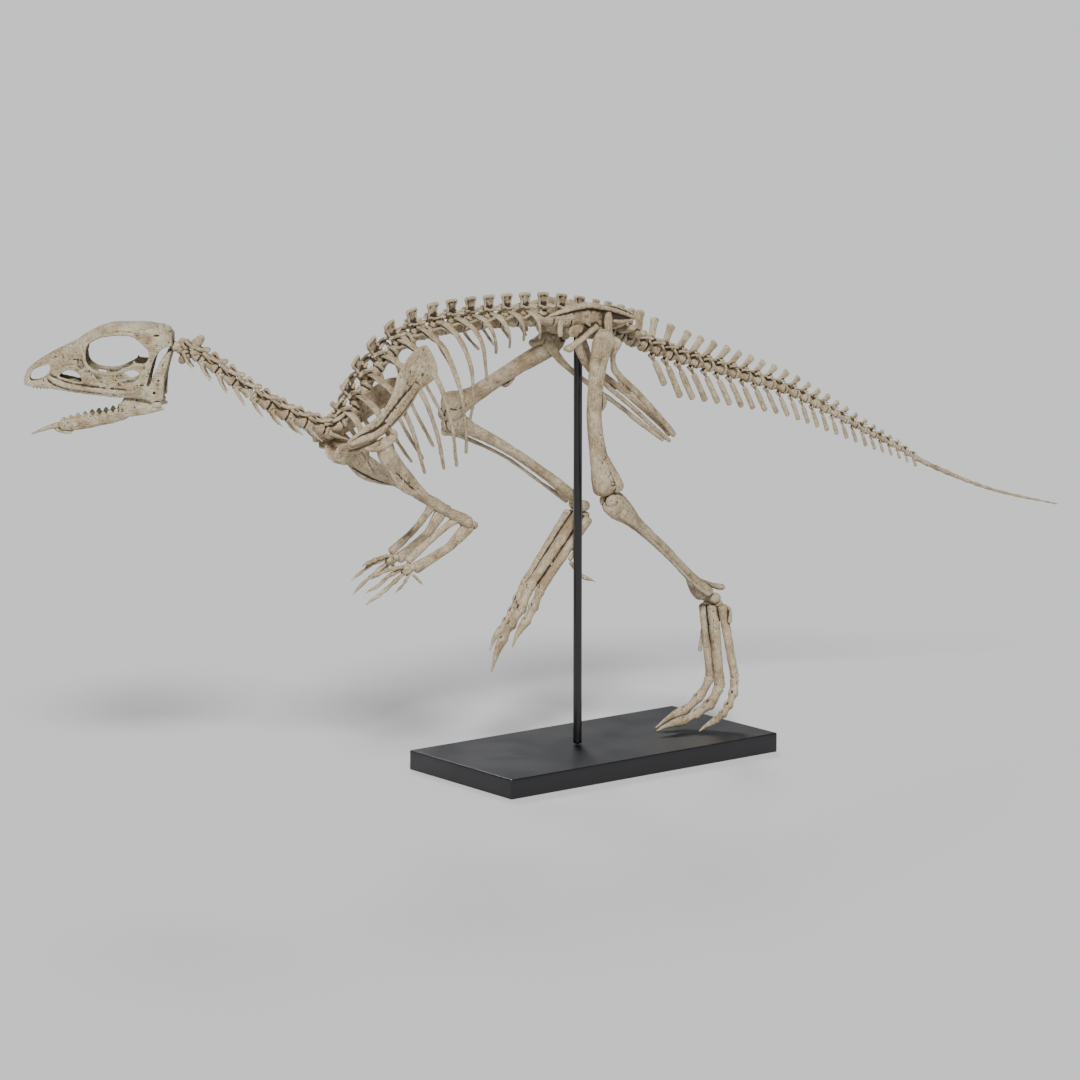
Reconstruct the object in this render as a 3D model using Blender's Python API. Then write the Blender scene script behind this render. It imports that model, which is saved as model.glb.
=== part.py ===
"""Mounted skeleton of a small two-legged plant-eating dinosaur on its own stand.

Run with: blender --background --python part.py
Sizes and places are in millimetres and are turned into metres when a mesh is made.
The origin is the centre of the base's underside. +X runs from the head to the tail, -Y is the
animal's left side and +Z is up. Every bone is one loft or a few lofts: rings carried along a path.
"""

import bpy
import bmesh
import math
import numpy as np
from mathutils import Vector

MM = 0.001
GAP = 0.32

LEFT = -1
RIGHT = 1
UP = (0, 0, 1)
TAILWARD = (1, 0, 0)
SIDE_NAME = {LEFT: "left", RIGHT: "right"}

# Stand
BASE_LENGTH = 434
BASE_WIDTH = 212
BASE_HEIGHT = 25
BASE_BEVEL = 1.6
ROD_X = -29
ROD_RADIUS = 5.5
ROD_TOP = 566
ROD_SIDES = 16

# The block that parts the two sides of the chest
CUT_REACH = 300
CUT_HALF_THICK = 50

# The spine's centre line, from the back of the skull to the tip of the tail
SPINE_LINE = [
    (-570.6, 78.6, 571.5), (-540.8, 55.3, 546.3), (-509.8, 34, 518.4), (-474.9, 15.9, 492.1),
    (-432.6, 3.9, 471.5), (-408.3, 0.9, 467.2), (-382, 0, 480), (-346, 0, 527),
    (-298, 0, 563), (-243.5, 0, 574.5), (-159, 0, 577), (-82.5, 0, 574),
    (-31, 0, 566), (16, 0, 555), (50, 0, 541.5), (88, 0, 526.5),
    (151.5, 0, 505), (238, 0, 478.6), (325, 0, 449.6), (402.6, 0, 414),
    (469, 0, 381.5), (524, 0, 355.4), (580, 0, 327), (695, 0, 282.6), (824, 0, 248.5),
]
NECK_FRONT_X = -569.8
NECK_SPLIT = 4
BACK_FRONT_X = -395.5
SACRUM_FRONT_X = -17.5
TAIL_FRONT_X = 58
NECK_COUNT = 9
BACK_COUNT = 15
SACRAL_COUNT = 4
TAIL_PITCHES = [22.5] * 13 + [20] * 7 + [17.5] * 6
TAIL_SPLITS = [0, 7, 15, 26]
TAIL_TIP_RINGS = 9

# Half sizes of the centra and the shapes that stand on them
NECK_RADIUS = (6.2, 8.5)
BACK_RADIUS = (8.5, 9.5)
SACRAL_RADIUS = (9.5, 10)
TAIL_RADIUS = (10.6, 3.9)
TAIL_TIP_RADIUS = (3.7, 1.1)
WAIST = 0.76


# Processes of the vertebrae: places are (back, up, out) from the middle of a centrum
FIRST_NECK_SPINE = {"foot": 1, "top": 17, "half_length": (9, 7, 5), "half_width": (3, 2.2, 1.4),
                    "lean": 0.45}
NECK_SPINE = {"foot": 1, "top": 15.5, "half_length": (8.5, 7.5, 5), "half_width": (5.5, 4.6, 2),
              "lean": 0.2}
NECK_ARMS = [((0, 8, 3), (16, 14.5, 8), 3.0, 2.8), ((0, 6, 3.5), (-12, 9, 9), 2.8, 2.6)]
NECK_RIB_ROOT = (-6, -3, 4.5)
NECK_RIB_OUT = 10
NECK_RIB_DROP = 0.62
NECK_RIB_LENGTH = 19
LAST_NECK_RIB_LENGTH = 36
NECK_RIB_RADIUS = 2.2
ARCH = {"foot": 2, "top": 18, "half_length": 9, "half_width": 5.5}
SPINE_FOOT = 13
BACK_SPINE_TOP = 34.5
BACK_SPINE_RISE = (10, 4)
BACK_SPINE_HALF_LENGTH = (7, 7.4, 9.2)
BACK_SPINE_HALF_WIDTH = 2.6
BACK_SPINE_LEAN = (0.12, -0.05)
SIDE_PROCESS_REACH = (20, 16.5)
SIDE_PROCESS_SIZE = (4.6, 1.9)
SACRAL_SPINE_TOP = (34, 37)
SACRAL_SPINE_HALF = (5.6, 2.4)
SACRAL_SPINE_LEAN = (0.05, -0.22)
SACRAL_RIB = ((0, 4, 4), (0, 10, 36), 6.5, 5)
TAIL_SCALE = (1, 0.42)
TAIL_SPINE_TOP = (40, 6)
TAIL_SPINE_HALF_LENGTH = (8, 4.8, 6.4)
TAIL_SPINE_HALF_WIDTH = (3.4, 2.4, 2.4)
TAIL_SPINE_LEANS = [-0.26, -0.12, 0.1, 0.38, 0.45, 0.53, 0.6]
TAIL_PROCESS_COUNT = 11
TAIL_PROCESS_REACH = (24, 10)
TAIL_PROCESS_SIZE = (3.6, 1.5)
CHEVRON_LENGTH = (62, 11)
FIRST_CHEVRON_PART = 0.8
CHEVRON_RUN = (0.75, 0.86)
CHEVRON_SIZE = (2.1, 3.0)

# Ribs of the fifteen back vertebrae: half width of the chest, tip (x, z) and the tip's half width
RIB_WIDTH = [26, 40, 50, 58, 62, 60, 56, 47, 32, 27, 24, 22]
RIB_TIP = [(-366, 424), (-327, 408), (-292, 404), (-264, 407), (-246, 409), (-230, 423),
           (-220, 463), (-197, 510), (-172, 541), (-149, 545), (-126, 552), (-101, 553)]
RIB_TIP_WIDTH = [17, 25, 31, 33, 34, 33, 28, 31, 17, 15, 14, 13]
RIB_BOW = [(0, 0.12), (0.04, 0.5), (0.16, 0.86), (0.42, 1.0), (0.72, 0.85)]
RIB_BLADE = [3.4, 5.4, 5.0, 3.4, 2.7, 2.2]
RIB_THICKNESS = 1.6
RIB_ROOT_UP = 12

# Skull: places are (ahead of the neck joint, up), half widths are to each side
SKULL_PLACE = (-570.6, 78.6, 571.5)
SKULL_HEADING = math.radians(38)
SKULL_SECTIONS = [
    # ahead, top, bottom, half width at the top, half width at the bottom
    (187.5, -38, -46, 2.5, 3),
    (179, -24, -48, 5, 8),
    (156, -8, -50, 9, 14),
    (125, 7, -53.5, 15, 21),
    (106, 19, -55.5, 19, 26),
    (84, 27.5, -57.5, 22, 31),
    (60, 29, -58.5, 25, 34),
    (40, 28.5, -60.5, 28, 34),
    (25.5, 26.5, -67.5, 29, 32),
    (20, 25.5, -42, 28, 31),
    (9, 17, -2, 21, 25),
]
# The eye's opening: middle (ahead, up), half length, half height and tilt
ORBIT = (74.5, -6.5, 38.5, 21, math.radians(-9))
CHEEK_THROUGH = 50
SNOUT_POCKET_FLOOR = 12
ROOF_CUT = (12, 40)
CONDYLE = [((14, 0, -1), 8), ((4, 0, 0), 6), ((-2, 0, 0), 4)]
BEAK_TOOTH = {"first": 174, "pitch": 5, "out": 5.5, "flare": 1.3, "top": -45, "tip": -52, "half": 1.6}
CHEEK_OPENING = [(77, -31), (56, -26), (45, -31), (61, -42)]
SNOUT_OPENING = [(144, -35), (131, -27), (121, -30), (118, -38), (128, -41)]
NOSTRIL = [(181, -40), (178, -27), (158, -24), (157, -29), (165, -41)]
QUADRATE_SLIT = [(3, 1), (17, -3), (26, -14), (32, -28), (37, -43)]
QUADRATE_SLIT_HALF = [3, 3.6, 3.4, 2, 1]
ROOF_OPENING = [(44, 9), (44, 18), (33, 22), (21, 19), (22, 8)]
JAW_SECTIONS = [
    # ahead, out, up, half width, half depth
    (19, 27.5, -71.5, 1.6, 1.4),
    (31, 27, -71.2, 3.2, 4.8),
    (48, 25, -71.8, 2.8, 8.2),
    (62, 23, -71.8, 2.6, 11.5),
    (70, 21.5, -80, 2.8, 6.3),
    (90, 18.5, -86, 3.2, 7.2),
    (122, 12, -93.6, 3.6, 9.4),
    (146, 4.5, -96, 3.4, 6.2),
]
PREDENTARY = [(138, 0, -95), (150, 0, -95.5), (164, 0, -99.5), (180, 0, -105.5)]
LOWER_TEETH = 9
LOWER_TOOTH_ROW = (76, 142)
BEAK_TEETH = 4

# Shoulder girdle, given for the animal's left side
SCAPULA = {
    LEFT: [(-296, -57, 549), (-312, -57, 541), (-330, -56.5, 526), (-345, -54.5, 500),
           (-365, -51.5, 478), (-387, -47, 463), (-413, -41, 451)],
    RIGHT: [(-262, 58, 497), (-278, 59, 494), (-299, 58, 487), (-321, 56, 475),
            (-347, 52, 463), (-376, 47, 455), (-407, 41, 449)],
}
SCAPULA_HALF_WIDTH = {LEFT: [20, 24, 21, 15.5, 12, 11.5, 6], RIGHT: [15, 17, 16, 13, 11.5, 10.5, 5]}
SCAPULA_HALF_THICK = [2.2, 2.3, 2.4, 3, 3.6, 4.5, 2.4]
SCAPULA_UP = {LEFT: (-0.7, 0, 0.7), RIGHT: (-0.35, 0, 0.93)}
# A ledge that stands out along the blade near its lower end
LEDGE = [(-414, -48, 454), (-399, -52, 459), (-380, -54, 464), (-360, -55, 478)]
CORACOID = [(-370, -48, 452), (-385, -37, 446), (-402, -20, 440)]
CORACOID_UP = (-0.5, 0.4, 0.75)
STERNUM = [(-411, -10.5, 440), (-392, -11.5, 436), (-371, -10.5, 437)]
STERNUM_UP = (0, -0.42, 0.9)

# Hip girdle, given for the animal's left side
ILIUM = [(-106, -37, 583.5), (-90, -37, 583.5), (-68, -36.5, 585), (-47, -36, 583.5),
         (-24, -35.5, 576.5), (0, -35, 577), (20, -35, 574.5), (38, -35, 571.5)]
ILIUM_HALF_HEIGHT = [1.5, 5.5, 9.5, 13, 16, 12.5, 8.5, 2]
ILIUM_THICKNESS = 2.6
CREST = [(-104, -37, 584), (-85, -37.5, 588), (-60, -37.5, 592), (-40, -37, 592.5),
         (-16, -36.5, 587), (8, -36, 580.5), (30, -35.5, 572.5)]
PUBIC_ROOT = [(-30, -37, 565), (-45, -37, 556), (-60, -36.5, 547), (-72, -36, 540)]
ISCHIAL_ROOT = [(-10, -36, 572), (-12, -37, 560), (-10, -36.5, 549)]
PUBIS = [(-57, -34, 551), (-50, -30, 536), (-33, -25, 513), (-4, -21, 490),
         (46, -15, 455), (90, -9.5, 422), (117, -6.5, 403)]
PUBIC_PRONG = [(-56, -33, 545), (-76, -31, 541), (-92, -28, 538)]
ISCHIUM = [(4, -34, 549), (4, -29, 526), (16, -21, 502), (62, -13, 467), (104, -6.5, 431),
           (127, -4, 409)]

# Limbs, as they are posed
HUMERUS = {
    LEFT: [(-367, -48, 450), (-356, -46, 430), (-331, -43, 404), (-300, -42, 378),
           (-268, -42, 357), (-236, -42, 341)],
    RIGHT: [(-367, 48, 450), (-353, 45, 430), (-322, 39, 406), (-285, 35, 384),
            (-252, 33, 365), (-221, 33, 348)],
}
RADIUS_BONE = {
    LEFT: [(-247, -41, 346), (-262, -40, 340), (-290, -38, 322), (-324, -36, 300)],
    RIGHT: [(-233, 32, 353), (-247, 31, 338), (-268, 30, 320), (-301, 30, 299)],
}
ULNA = {
    LEFT: [(-228, -42, 332), (-239, -42, 330), (-262, -40, 312), (-290, -38, 299),
           (-314, -37, 289)],
    RIGHT: [(-212, 34, 341), (-222, 34, 337), (-240, 33, 317), (-266, 32, 301),
            (-289, 32, 288)],
}
WRIST = {LEFT: (-323, -36, 290), RIGHT: (-299, 31, 290)}
FINGERS = {
    LEFT: [
        [(-329, -36, 294), (-350, -34, 292), (-363, -33, 288), (-378, -32, 283)],
        [(-327, -34, 291), (-347, -32, 284), (-363, -30, 273), (-383, -29, 265)],
        [(-324, -34, 287), (-343, -31, 273), (-359, -29, 262), (-380, -28, 251)],
        [(-321, -38, 285), (-332, -40, 273), (-347, -41, 262)],
        [(-318, -40, 284), (-312, -43, 277), (-306, -46, 269)],
    ],
    RIGHT: [
        [(-305, 29, 296), (-320, 28, 294), (-334, 27, 291), (-347, 27, 286)],
        [(-303, 31, 292), (-324, 32, 288), (-340, 34, 279), (-358, 35, 268)],
        [(-300, 33, 288), (-318, 35, 276), (-336, 37, 264), (-352, 38, 250)],
        [(-296, 35, 286), (-307, 39, 274), (-322, 42, 265)],
        [(-293, 35, 285), (-288, 40, 277), (-282, 44, 269)],
    ],
}
FINGER_RADIUS = [2.7, 2.6, 2.7, 2.1, 1.8]

HIP = (-22, 553)
FEMUR = {
    LEFT: [(-20, -45, 560), (-23, -44, 547), (-29, -43, 526), (-36, -44, 490), (-38, -44, 449),
           (-31, -44, 404), (-20, -43, 372), (-12, -43, 353)],
    RIGHT: [(-20, 45, 553), (-32, 43, 541), (-55, 40, 528), (-92, 38, 514), (-130, 38, 498),
            (-168, 38, 481), (-197, 38, 472), (-212, 38, 468)],
}
FEMUR_HALF_WIDTH = [7, 9, 9, 8.5, 8.5, 9.5, 13, 15]
FEMUR_HALF_DEPTH = [10, 16, 13, 10.5, 10, 12, 19, 22]
TIBIA = {
    LEFT: [(-17, -42, 347), (5, -42, 331), (33, -38, 311), (91, -28, 268), (143, -17, 226),
           (166, -12, 209), (179, -9, 200)],
    RIGHT: [(-207, 38, 448), (-196, 38, 450), (-170, 37, 440), (-110, 34, 408), (-52, 30, 369),
            (-25, 27, 347), (-9, 26, 335)],
}
TIBIA_HALF_WIDTH = [11, 11, 8, 6.5, 7.5, 13, 16]
TIBIA_HALF_DEPTH = [14, 15, 9, 6.5, 6.5, 7.5, 7]
FIBULA = {
    LEFT: [(-2, -54, 329), (12, -53.5, 320), (34, -48, 302), (90, -36, 259), (142, -26, 217),
           (171, -23, 199)],
    RIGHT: [(-206, 50, 440), (-195, 49.5, 439), (-171, 47, 428), (-111, 42.5, 398), (-54, 40, 359),
            (-14, 39, 333)],
}
ANKLE = {LEFT: (184, -9, 193), RIGHT: (-5, 27, 329)}
METATARSAL_TOPS = {
    LEFT: [(181, 1, 184), (187, -10, 185), (194, -21, 184)],
    RIGHT: [(3, 17, 313), (-5, 27, 319), (-12, 37, 321)],
}
METATARSAL_ENDS = {
    LEFT: [(189, -4, 86), (191, -21, 76), (203, -37, 89)],
    RIGHT: [(-77, 14, 231), (-88, 25, 231), (-86, 38, 233)],
}
METATARSAL_RADIUS = [5, 6, 5]
SPLINTS = {
    LEFT: [[(193, -20, 178), (201, -28, 178), (197, -33, 160)],
           [(184, 4, 152), (184, 8, 136), (182, 9, 118)]],
    RIGHT: [[(-12, 38, 304), (-4, 44, 293), (-12, 49, 281)],
            [(-17, 17, 284), (-23, 12.5, 274), (-33, 12.2, 262)]],
}
TOES = {
    LEFT: [
        [(176, -5, 68), (154, -3, 50), (125, -2, 39), (98, -2, 29)],
        [(176, -23, 58), (156, -24, 48), (121, -25, 38), (80, -26, 32)],
        [(196, -41, 66), (180, -45, 48), (160, -48, 38), (131, -51, 29)],
    ],
    RIGHT: [
        [(-90, 12, 210), (-102, 11, 194), (-117, 9, 178), (-128, 8, 162)],
        [(-102, 24, 207), (-116, 23, 191), (-136, 22, 164), (-151, 21, 131)],
        [(-102, 38, 205), (-117, 39, 185), (-131, 40, 168), (-139, 40, 154)],
    ],
}
TOE_RADIUS = [5.2, 6, 5.2]
HALLUX = [(-30, 14, 260), (-20, 12.5, 247), (-8, 11, 237), (9, 10, 229)]
HALLUX_RADIUS = 3.4

# Finishes: colour and roughness
BONE_FINISH = ((0.42, 0.36, 0.27, 1), 0.75)
SKULL_FINISH = ((0.38, 0.35, 0.29, 1), 0.7)
ROD_FINISH = ((0.02, 0.02, 0.02, 1), 0.38)
BASE_FINISH = ((0.018, 0.018, 0.02, 1), 0.35)


def clear_scene():
    for item in list(bpy.data.objects):
        bpy.data.objects.remove(item, do_unlink=True)


def flow(points, count):
    """Points of a smooth curve through the given ones, with count values in all."""
    points = np.array(points, float)
    ends = np.vstack([2 * points[0] - points[1], points, 2 * points[-1] - points[-2]])
    place = np.linspace(0, len(points) - 1, count)
    start = np.minimum(place.astype(int), len(points) - 2)
    t = (place - start)[:, None]
    a, b, c, d = (ends[start + k] for k in range(4))
    return 0.5 * (2 * b + (c - a) * t + (2 * a - 5 * b + 4 * c - d) * t ** 2
                  + (3 * b - a - 3 * c + d) * t ** 3)


def unit(vectors):
    return vectors / np.linalg.norm(vectors, axis=-1, keepdims=True)


def bone(path, half_width, half_depth, sides=6, up=UP, stations=None, ahead=None):
    """One loft: rings of half_width to each side and half_depth along up, carried along path."""
    path = np.array(path, float)
    sizes = np.empty((len(path), 2))
    sizes[:, 0] = half_width
    sizes[:, 1] = half_depth
    if stations:
        both = flow(np.hstack([path, sizes]), stations)
        path, sizes = both[:, :3], np.maximum(both[:, 3:], 0.35)
    ahead = unit(np.gradient(path, axis=0)) if ahead is None else np.array(ahead)
    return {"path": path, "sizes": sizes, "sides": sides, "up": np.array(up, float), "ahead": ahead}


def mirrored(piece):
    """The same loft on the animal's other side."""
    flip = np.array([1, -1, 1])
    return {**piece, "path": piece["path"] * flip, "up": piece["up"] * flip,
            "ahead": piece["ahead"] * flip}


def on_side(piece, side):
    return piece if side == LEFT else mirrored(piece)


def widened(outlines, grow):
    """Move every edge of the outlines out by grow, with mitred corners."""
    edges = unit(np.roll(outlines, -1, axis=1) - outlines)
    normals = np.stack([edges[..., 1], -edges[..., 0]], axis=-1)
    before = np.roll(normals, 1, axis=1)
    lean = 1 + np.sum(normals * before, axis=-1, keepdims=True)
    return outlines + grow * (normals + before) / lean


def loft_rings(piece, grow=0):
    """Rings of points across the path, made larger by grow on every side."""
    path = piece["path"].copy()
    ahead = piece["ahead"]
    path[0] -= ahead[0] * grow
    path[-1] += ahead[-1] * grow
    up = piece["up"] - (ahead @ piece["up"])[:, None] * ahead
    up = unit(up)
    side = np.cross(up, ahead)
    sides = piece["sides"]
    turn = (np.arange(sides) + 0.5) * 2 * math.pi / sides
    reach = math.sqrt(2) if sides == 4 else 1
    round_trip = np.stack([np.cos(turn), np.sin(turn)], axis=-1) * reach
    outline = widened(round_trip * piece["sizes"][:, None, :], grow)
    return path[:, None, :] + outline[..., :1] * side[:, None, :] + outline[..., 1:] * up[:, None, :]


def skin(rings):
    """Corner places and triangles of the closed body through the rings."""
    count, sides = rings.shape[:2]
    corners = rings.reshape(-1, 3)
    faces = []
    for ring in range(count - 1):
        for k in range(sides):
            a = ring * sides + k
            b = ring * sides + (k + 1) % sides
            faces.append((a, b, b + sides))
            faces.append((a, b + sides, a + sides))
    faces.append(tuple(reversed(range(sides))))
    faces.append(tuple(range((count - 1) * sides, count * sides)))
    return corners, faces


def body(rings, name):
    """A closed mesh object in metres, its faces pointing out."""
    corners, faces = skin(rings)
    mesh = bpy.data.meshes.new(name)
    mesh.from_pydata([tuple(p) for p in corners * MM], [], faces)
    work = bmesh.new()
    work.from_mesh(mesh)
    if work.calc_volume(signed=True) < 0:
        bmesh.ops.reverse_faces(work, faces=work.faces)
    work.to_mesh(mesh)
    work.free()
    item = bpy.data.objects.new(name, mesh)
    bpy.context.scene.collection.objects.link(item)
    return item


def solid(piece, grow=0):
    return body(piece["rings"](grow) if "rings" in piece else loft_rings(piece, grow), "piece")


def combine(item, others, operation):
    """Apply one Boolean with a collection of closed bodies, then remove the collection."""
    if not others:
        return
    group = bpy.data.collections.new("operands")
    bpy.context.scene.collection.children.link(group)
    for other in others:
        bpy.context.scene.collection.objects.unlink(other)
        group.objects.link(other)
    modifier = item.modifiers.new(operation, "BOOLEAN")
    modifier.operation = operation
    modifier.operand_type = "COLLECTION"
    modifier.collection = group
    modifier.solver = "EXACT"
    bpy.context.view_layer.update()
    shaped = item.evaluated_get(bpy.context.evaluated_depsgraph_get())
    mesh = bpy.data.meshes.new_from_object(shaped)
    item.modifiers.clear()
    item.data = mesh
    for other in others:
        bpy.data.objects.remove(other, do_unlink=True)
    bpy.data.collections.remove(group)


def keep_largest(item):
    """Delete every closed surface of the mesh but the one with the most volume."""
    work = bmesh.new()
    work.from_mesh(item.data)
    bmesh.ops.triangulate(work, faces=work.faces)
    left = set(work.faces)
    groups = []
    while left:
        seed = left.pop()
        group = [seed]
        for face in group:
            for edge in face.edges:
                for other in edge.link_faces:
                    if other in left:
                        left.remove(other)
                        group.append(other)
        volume = sum(f.verts[0].co.dot(f.verts[1].co.cross(f.verts[2].co)) for f in group)
        groups.append((volume, group))
    groups.sort(key=lambda entry: entry[0])
    spare = [face for entry in groups[:-1] for face in entry[1]]
    bmesh.ops.delete(work, geom=spare, context="FACES")
    loose = [v for v in work.verts if not v.link_faces]
    bmesh.ops.delete(work, geom=loose, context="VERTS")
    bmesh.ops.dissolve_limit(work, angle_limit=0.001, verts=work.verts, edges=work.edges)
    bmesh.ops.triangulate(work, faces=work.faces)
    work.to_mesh(item.data)
    work.free()


def paint(item, finish):
    """Give the object a material of its own, with the finish's colour and roughness."""
    material = bpy.data.materials.new(item.name + "_finish")
    material.use_nodes = True
    shader = material.node_tree.nodes["Principled BSDF"]
    shader.inputs["Base Color"].default_value = finish[0]
    shader.inputs["Roughness"].default_value = finish[1]
    item.data.materials.clear()
    item.data.materials.append(material)


def node(name, pieces, clear_of=(), cuts=(), finish=BONE_FINISH):
    """Fuse the pieces into one body, cut windows, and stay a gap clear of the neighbours."""
    item = solid(pieces[0])
    combine(item, [solid(piece) for piece in pieces[1:]], "UNION")
    combine(item, [solid(piece) for piece in cuts], "DIFFERENCE")
    combine(item, [solid(piece, GAP) for piece in clear_of], "DIFFERENCE")
    keep_largest(item)
    item.name = name
    item.data.name = name
    paint(item, finish)


class SpineLine:
    """The spine's centre line by length, with its directions."""

    def __init__(self, points):
        self.points = flow(points, len(points) * 24)
        steps = np.linalg.norm(np.diff(self.points, axis=0), axis=1)
        self.length = np.concatenate([[0], np.cumsum(steps)])

    def at_x(self, x):
        """Length along the line where it reaches x."""
        return float(np.interp(x, self.points[:, 0], self.length))

    def centre(self, s):
        return np.array([np.interp(s, self.length, self.points[:, k]) for k in range(3)])

    def direction(self, s):
        return unit(self.centre(s + 2) - self.centre(s - 2))

    def place(self, s, back=0, up=0, left=0):
        """A place given by length along the line, then backwards, upwards and to the left."""
        ahead = self.direction(s)
        rise = unit(np.array(UP) - ahead[2] * ahead)
        out = np.cross(ahead, rise)
        return self.centre(s) + back * ahead + up * rise + left * out


LINE = SpineLine(SPINE_LINE)


def even_edges(first, last, count):
    return list(np.linspace(first, last, count + 1))


NECK_EDGES = even_edges(LINE.at_x(NECK_FRONT_X), LINE.at_x(BACK_FRONT_X), NECK_COUNT)
BACK_EDGES = even_edges(LINE.at_x(BACK_FRONT_X), LINE.at_x(SACRUM_FRONT_X), BACK_COUNT)
SACRAL_EDGES = even_edges(LINE.at_x(SACRUM_FRONT_X), LINE.at_x(TAIL_FRONT_X), SACRAL_COUNT)
TAIL_EDGES = list(LINE.at_x(TAIL_FRONT_X) + np.concatenate([[0], np.cumsum(TAIL_PITCHES)]))


def between(limits, part):
    return limits[0] + (limits[1] - limits[0]) * part


def centra(edges, radii, sides=6):
    """One body for a row of centra: wide at each joint and waisted between joints."""
    stations = [edges[0] + GAP / 2]
    sizes = [radii[0]]
    for k in range(len(edges) - 1):
        middle = (edges[k] + edges[k + 1]) / 2
        radius = (radii[k] + radii[k + 1]) / 2
        stations += [middle, edges[k + 1]]
        sizes += [radius * WAIST, radii[k + 1]]
    stations[-1] -= GAP / 2
    path = [LINE.place(s) for s in stations]
    return bone(path, sizes, sizes, sides, ahead=[LINE.direction(s) for s in stations])


def plate(s, foot, top, half_length, half_width, lean=0.0):
    """A neural spine: an upright plate from foot to top above the centre line."""
    heights = np.linspace(foot, top, np.size(half_length) if np.size(half_length) > 1 else 2)
    path = [LINE.place(s, lean * (h - foot), h) for h in heights]
    ahead = LINE.place(s, 1) - LINE.place(s)
    return bone(path, half_width, half_length, 4, ahead)


def arm(s, start, end, half_width, half_depth, tip=0.6, side=LEFT):
    """A process between two places given as (back, up, out) from the centre line at s."""
    path = [LINE.place(s, back, up, -side * out) for back, up, out in (start, end)]
    return bone(path, [half_width, half_width * tip], [half_depth, half_depth * tip], 4)


def neck_vertebra(index):
    """Arch, joint arms and short ribs of one neck vertebra, counted from the head."""
    s = (NECK_EDGES[index] + NECK_EDGES[index + 1]) / 2
    pieces = []
    pieces.append(plate(s, **(FIRST_NECK_SPINE if index == 0 else NECK_SPINE)))
    length = NECK_RIB_LENGTH if index < NECK_COUNT - 1 else LAST_NECK_RIB_LENGTH
    back, up, _ = NECK_RIB_ROOT
    rib_tip = (back + length, up - length * NECK_RIB_DROP, NECK_RIB_OUT)
    for side in (LEFT, RIGHT):
        for start, end, half_width, half_depth in NECK_ARMS:
            pieces.append(arm(s, start, end, half_width, half_depth, side=side))
        pieces.append(arm(s, NECK_RIB_ROOT, rib_tip, NECK_RIB_RADIUS, NECK_RIB_RADIUS, 0.4, side=side))
    return pieces


def neck_centra(first, last):
    edges = NECK_EDGES[first:last + 1]
    parts = np.linspace(first, last, last - first + 1) / NECK_COUNT
    return centra(edges, [between(NECK_RADIUS, part) for part in parts])


def neck(first, last):
    pieces = [neck_centra(first, last)]
    for index in range(first, last):
        pieces += neck_vertebra(index)
    return pieces


def back_centra():
    parts = np.linspace(0, 1, BACK_COUNT + 1)
    return centra(BACK_EDGES, [between(BACK_RADIUS, part) for part in parts])


def rib(index, side):
    """One rib: out from the arch, round the chest's widest line and in again to its tip."""
    s = (BACK_EDGES[index] + BACK_EDGES[index + 1]) / 2
    root = LINE.place(s, 0, RIB_ROOT_UP)
    tip = np.array([RIB_TIP[index][0], 0, RIB_TIP[index][1]])
    path = []
    for part, bow in RIB_BOW:
        place = root + (tip - root) * part
        place[1] = side * RIB_WIDTH[index] * bow
        path.append(place)
    tip[1] = side * RIB_TIP_WIDTH[index]
    path.append(tip)
    return bone(path, RIB_THICKNESS, RIB_BLADE, 4, TAILWARD)


def ribs(side):
    return [rib(index, side) for index in range(len(RIB_TIP))]


def back_vertebra(index, side):
    """Arch, spine and one side process of a back vertebra."""
    s = (BACK_EDGES[index] + BACK_EDGES[index + 1]) / 2
    part = index / (BACK_COUNT - 1)
    lean = between(BACK_SPINE_LEAN, part)
    top = BACK_SPINE_TOP - (BACK_SPINE_RISE[index] if index < len(BACK_SPINE_RISE) else 0)
    reach = between(SIDE_PROCESS_REACH, part)
    return [plate(s, **ARCH, lean=lean),
            plate(s, SPINE_FOOT, top, BACK_SPINE_HALF_LENGTH, BACK_SPINE_HALF_WIDTH, lean),
            arm(s, (0, 14, 2), (3, 18, reach), *SIDE_PROCESS_SIZE, 0.75, side)]


def chest(side):
    """The back vertebrae's half on one side, with that side's ribs."""
    pieces = [back_centra()]
    for index in range(BACK_COUNT):
        pieces += back_vertebra(index, side)
    return pieces + ribs(side)


def sagittal_cut(side):
    """A block over everything beyond the animal's middle plane."""
    middle = (BACK_FRONT_X + SACRUM_FRONT_X) / 2
    y = -side * (CUT_HALF_THICK - GAP / 2)
    path = [(middle - CUT_REACH, y, HIP[1]), (middle + CUT_REACH, y, HIP[1])]
    return bone(path, CUT_HALF_THICK, CUT_REACH, 4)


def sacrum():
    pieces = [centra(SACRAL_EDGES, [SACRAL_RADIUS[1]] * len(SACRAL_EDGES))]
    for index in range(SACRAL_COUNT):
        s = (SACRAL_EDGES[index] + SACRAL_EDGES[index + 1]) / 2
        part = index / (SACRAL_COUNT - 1)
        top = between(SACRAL_SPINE_TOP, part)
        lean = between(SACRAL_SPINE_LEAN, part)
        pieces.append(plate(s, **ARCH))
        pieces.append(plate(s, SPINE_FOOT, top, *SACRAL_SPINE_HALF, lean))
        for side in (LEFT, RIGHT):
            pieces.append(arm(s, *SACRAL_RIB, 0.9, side))
    return pieces


def tail_size(limits, s):
    """A size that shrinks evenly from the tail's root to its last spined vertebra."""
    part = (s - TAIL_EDGES[0]) / (TAIL_EDGES[-1] - TAIL_EDGES[0])
    return between(limits, part)


def tail_centra(first, last):
    edges = TAIL_EDGES[first:last + 1]
    return centra(edges, [tail_size(TAIL_RADIUS, s) for s in edges])


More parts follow.
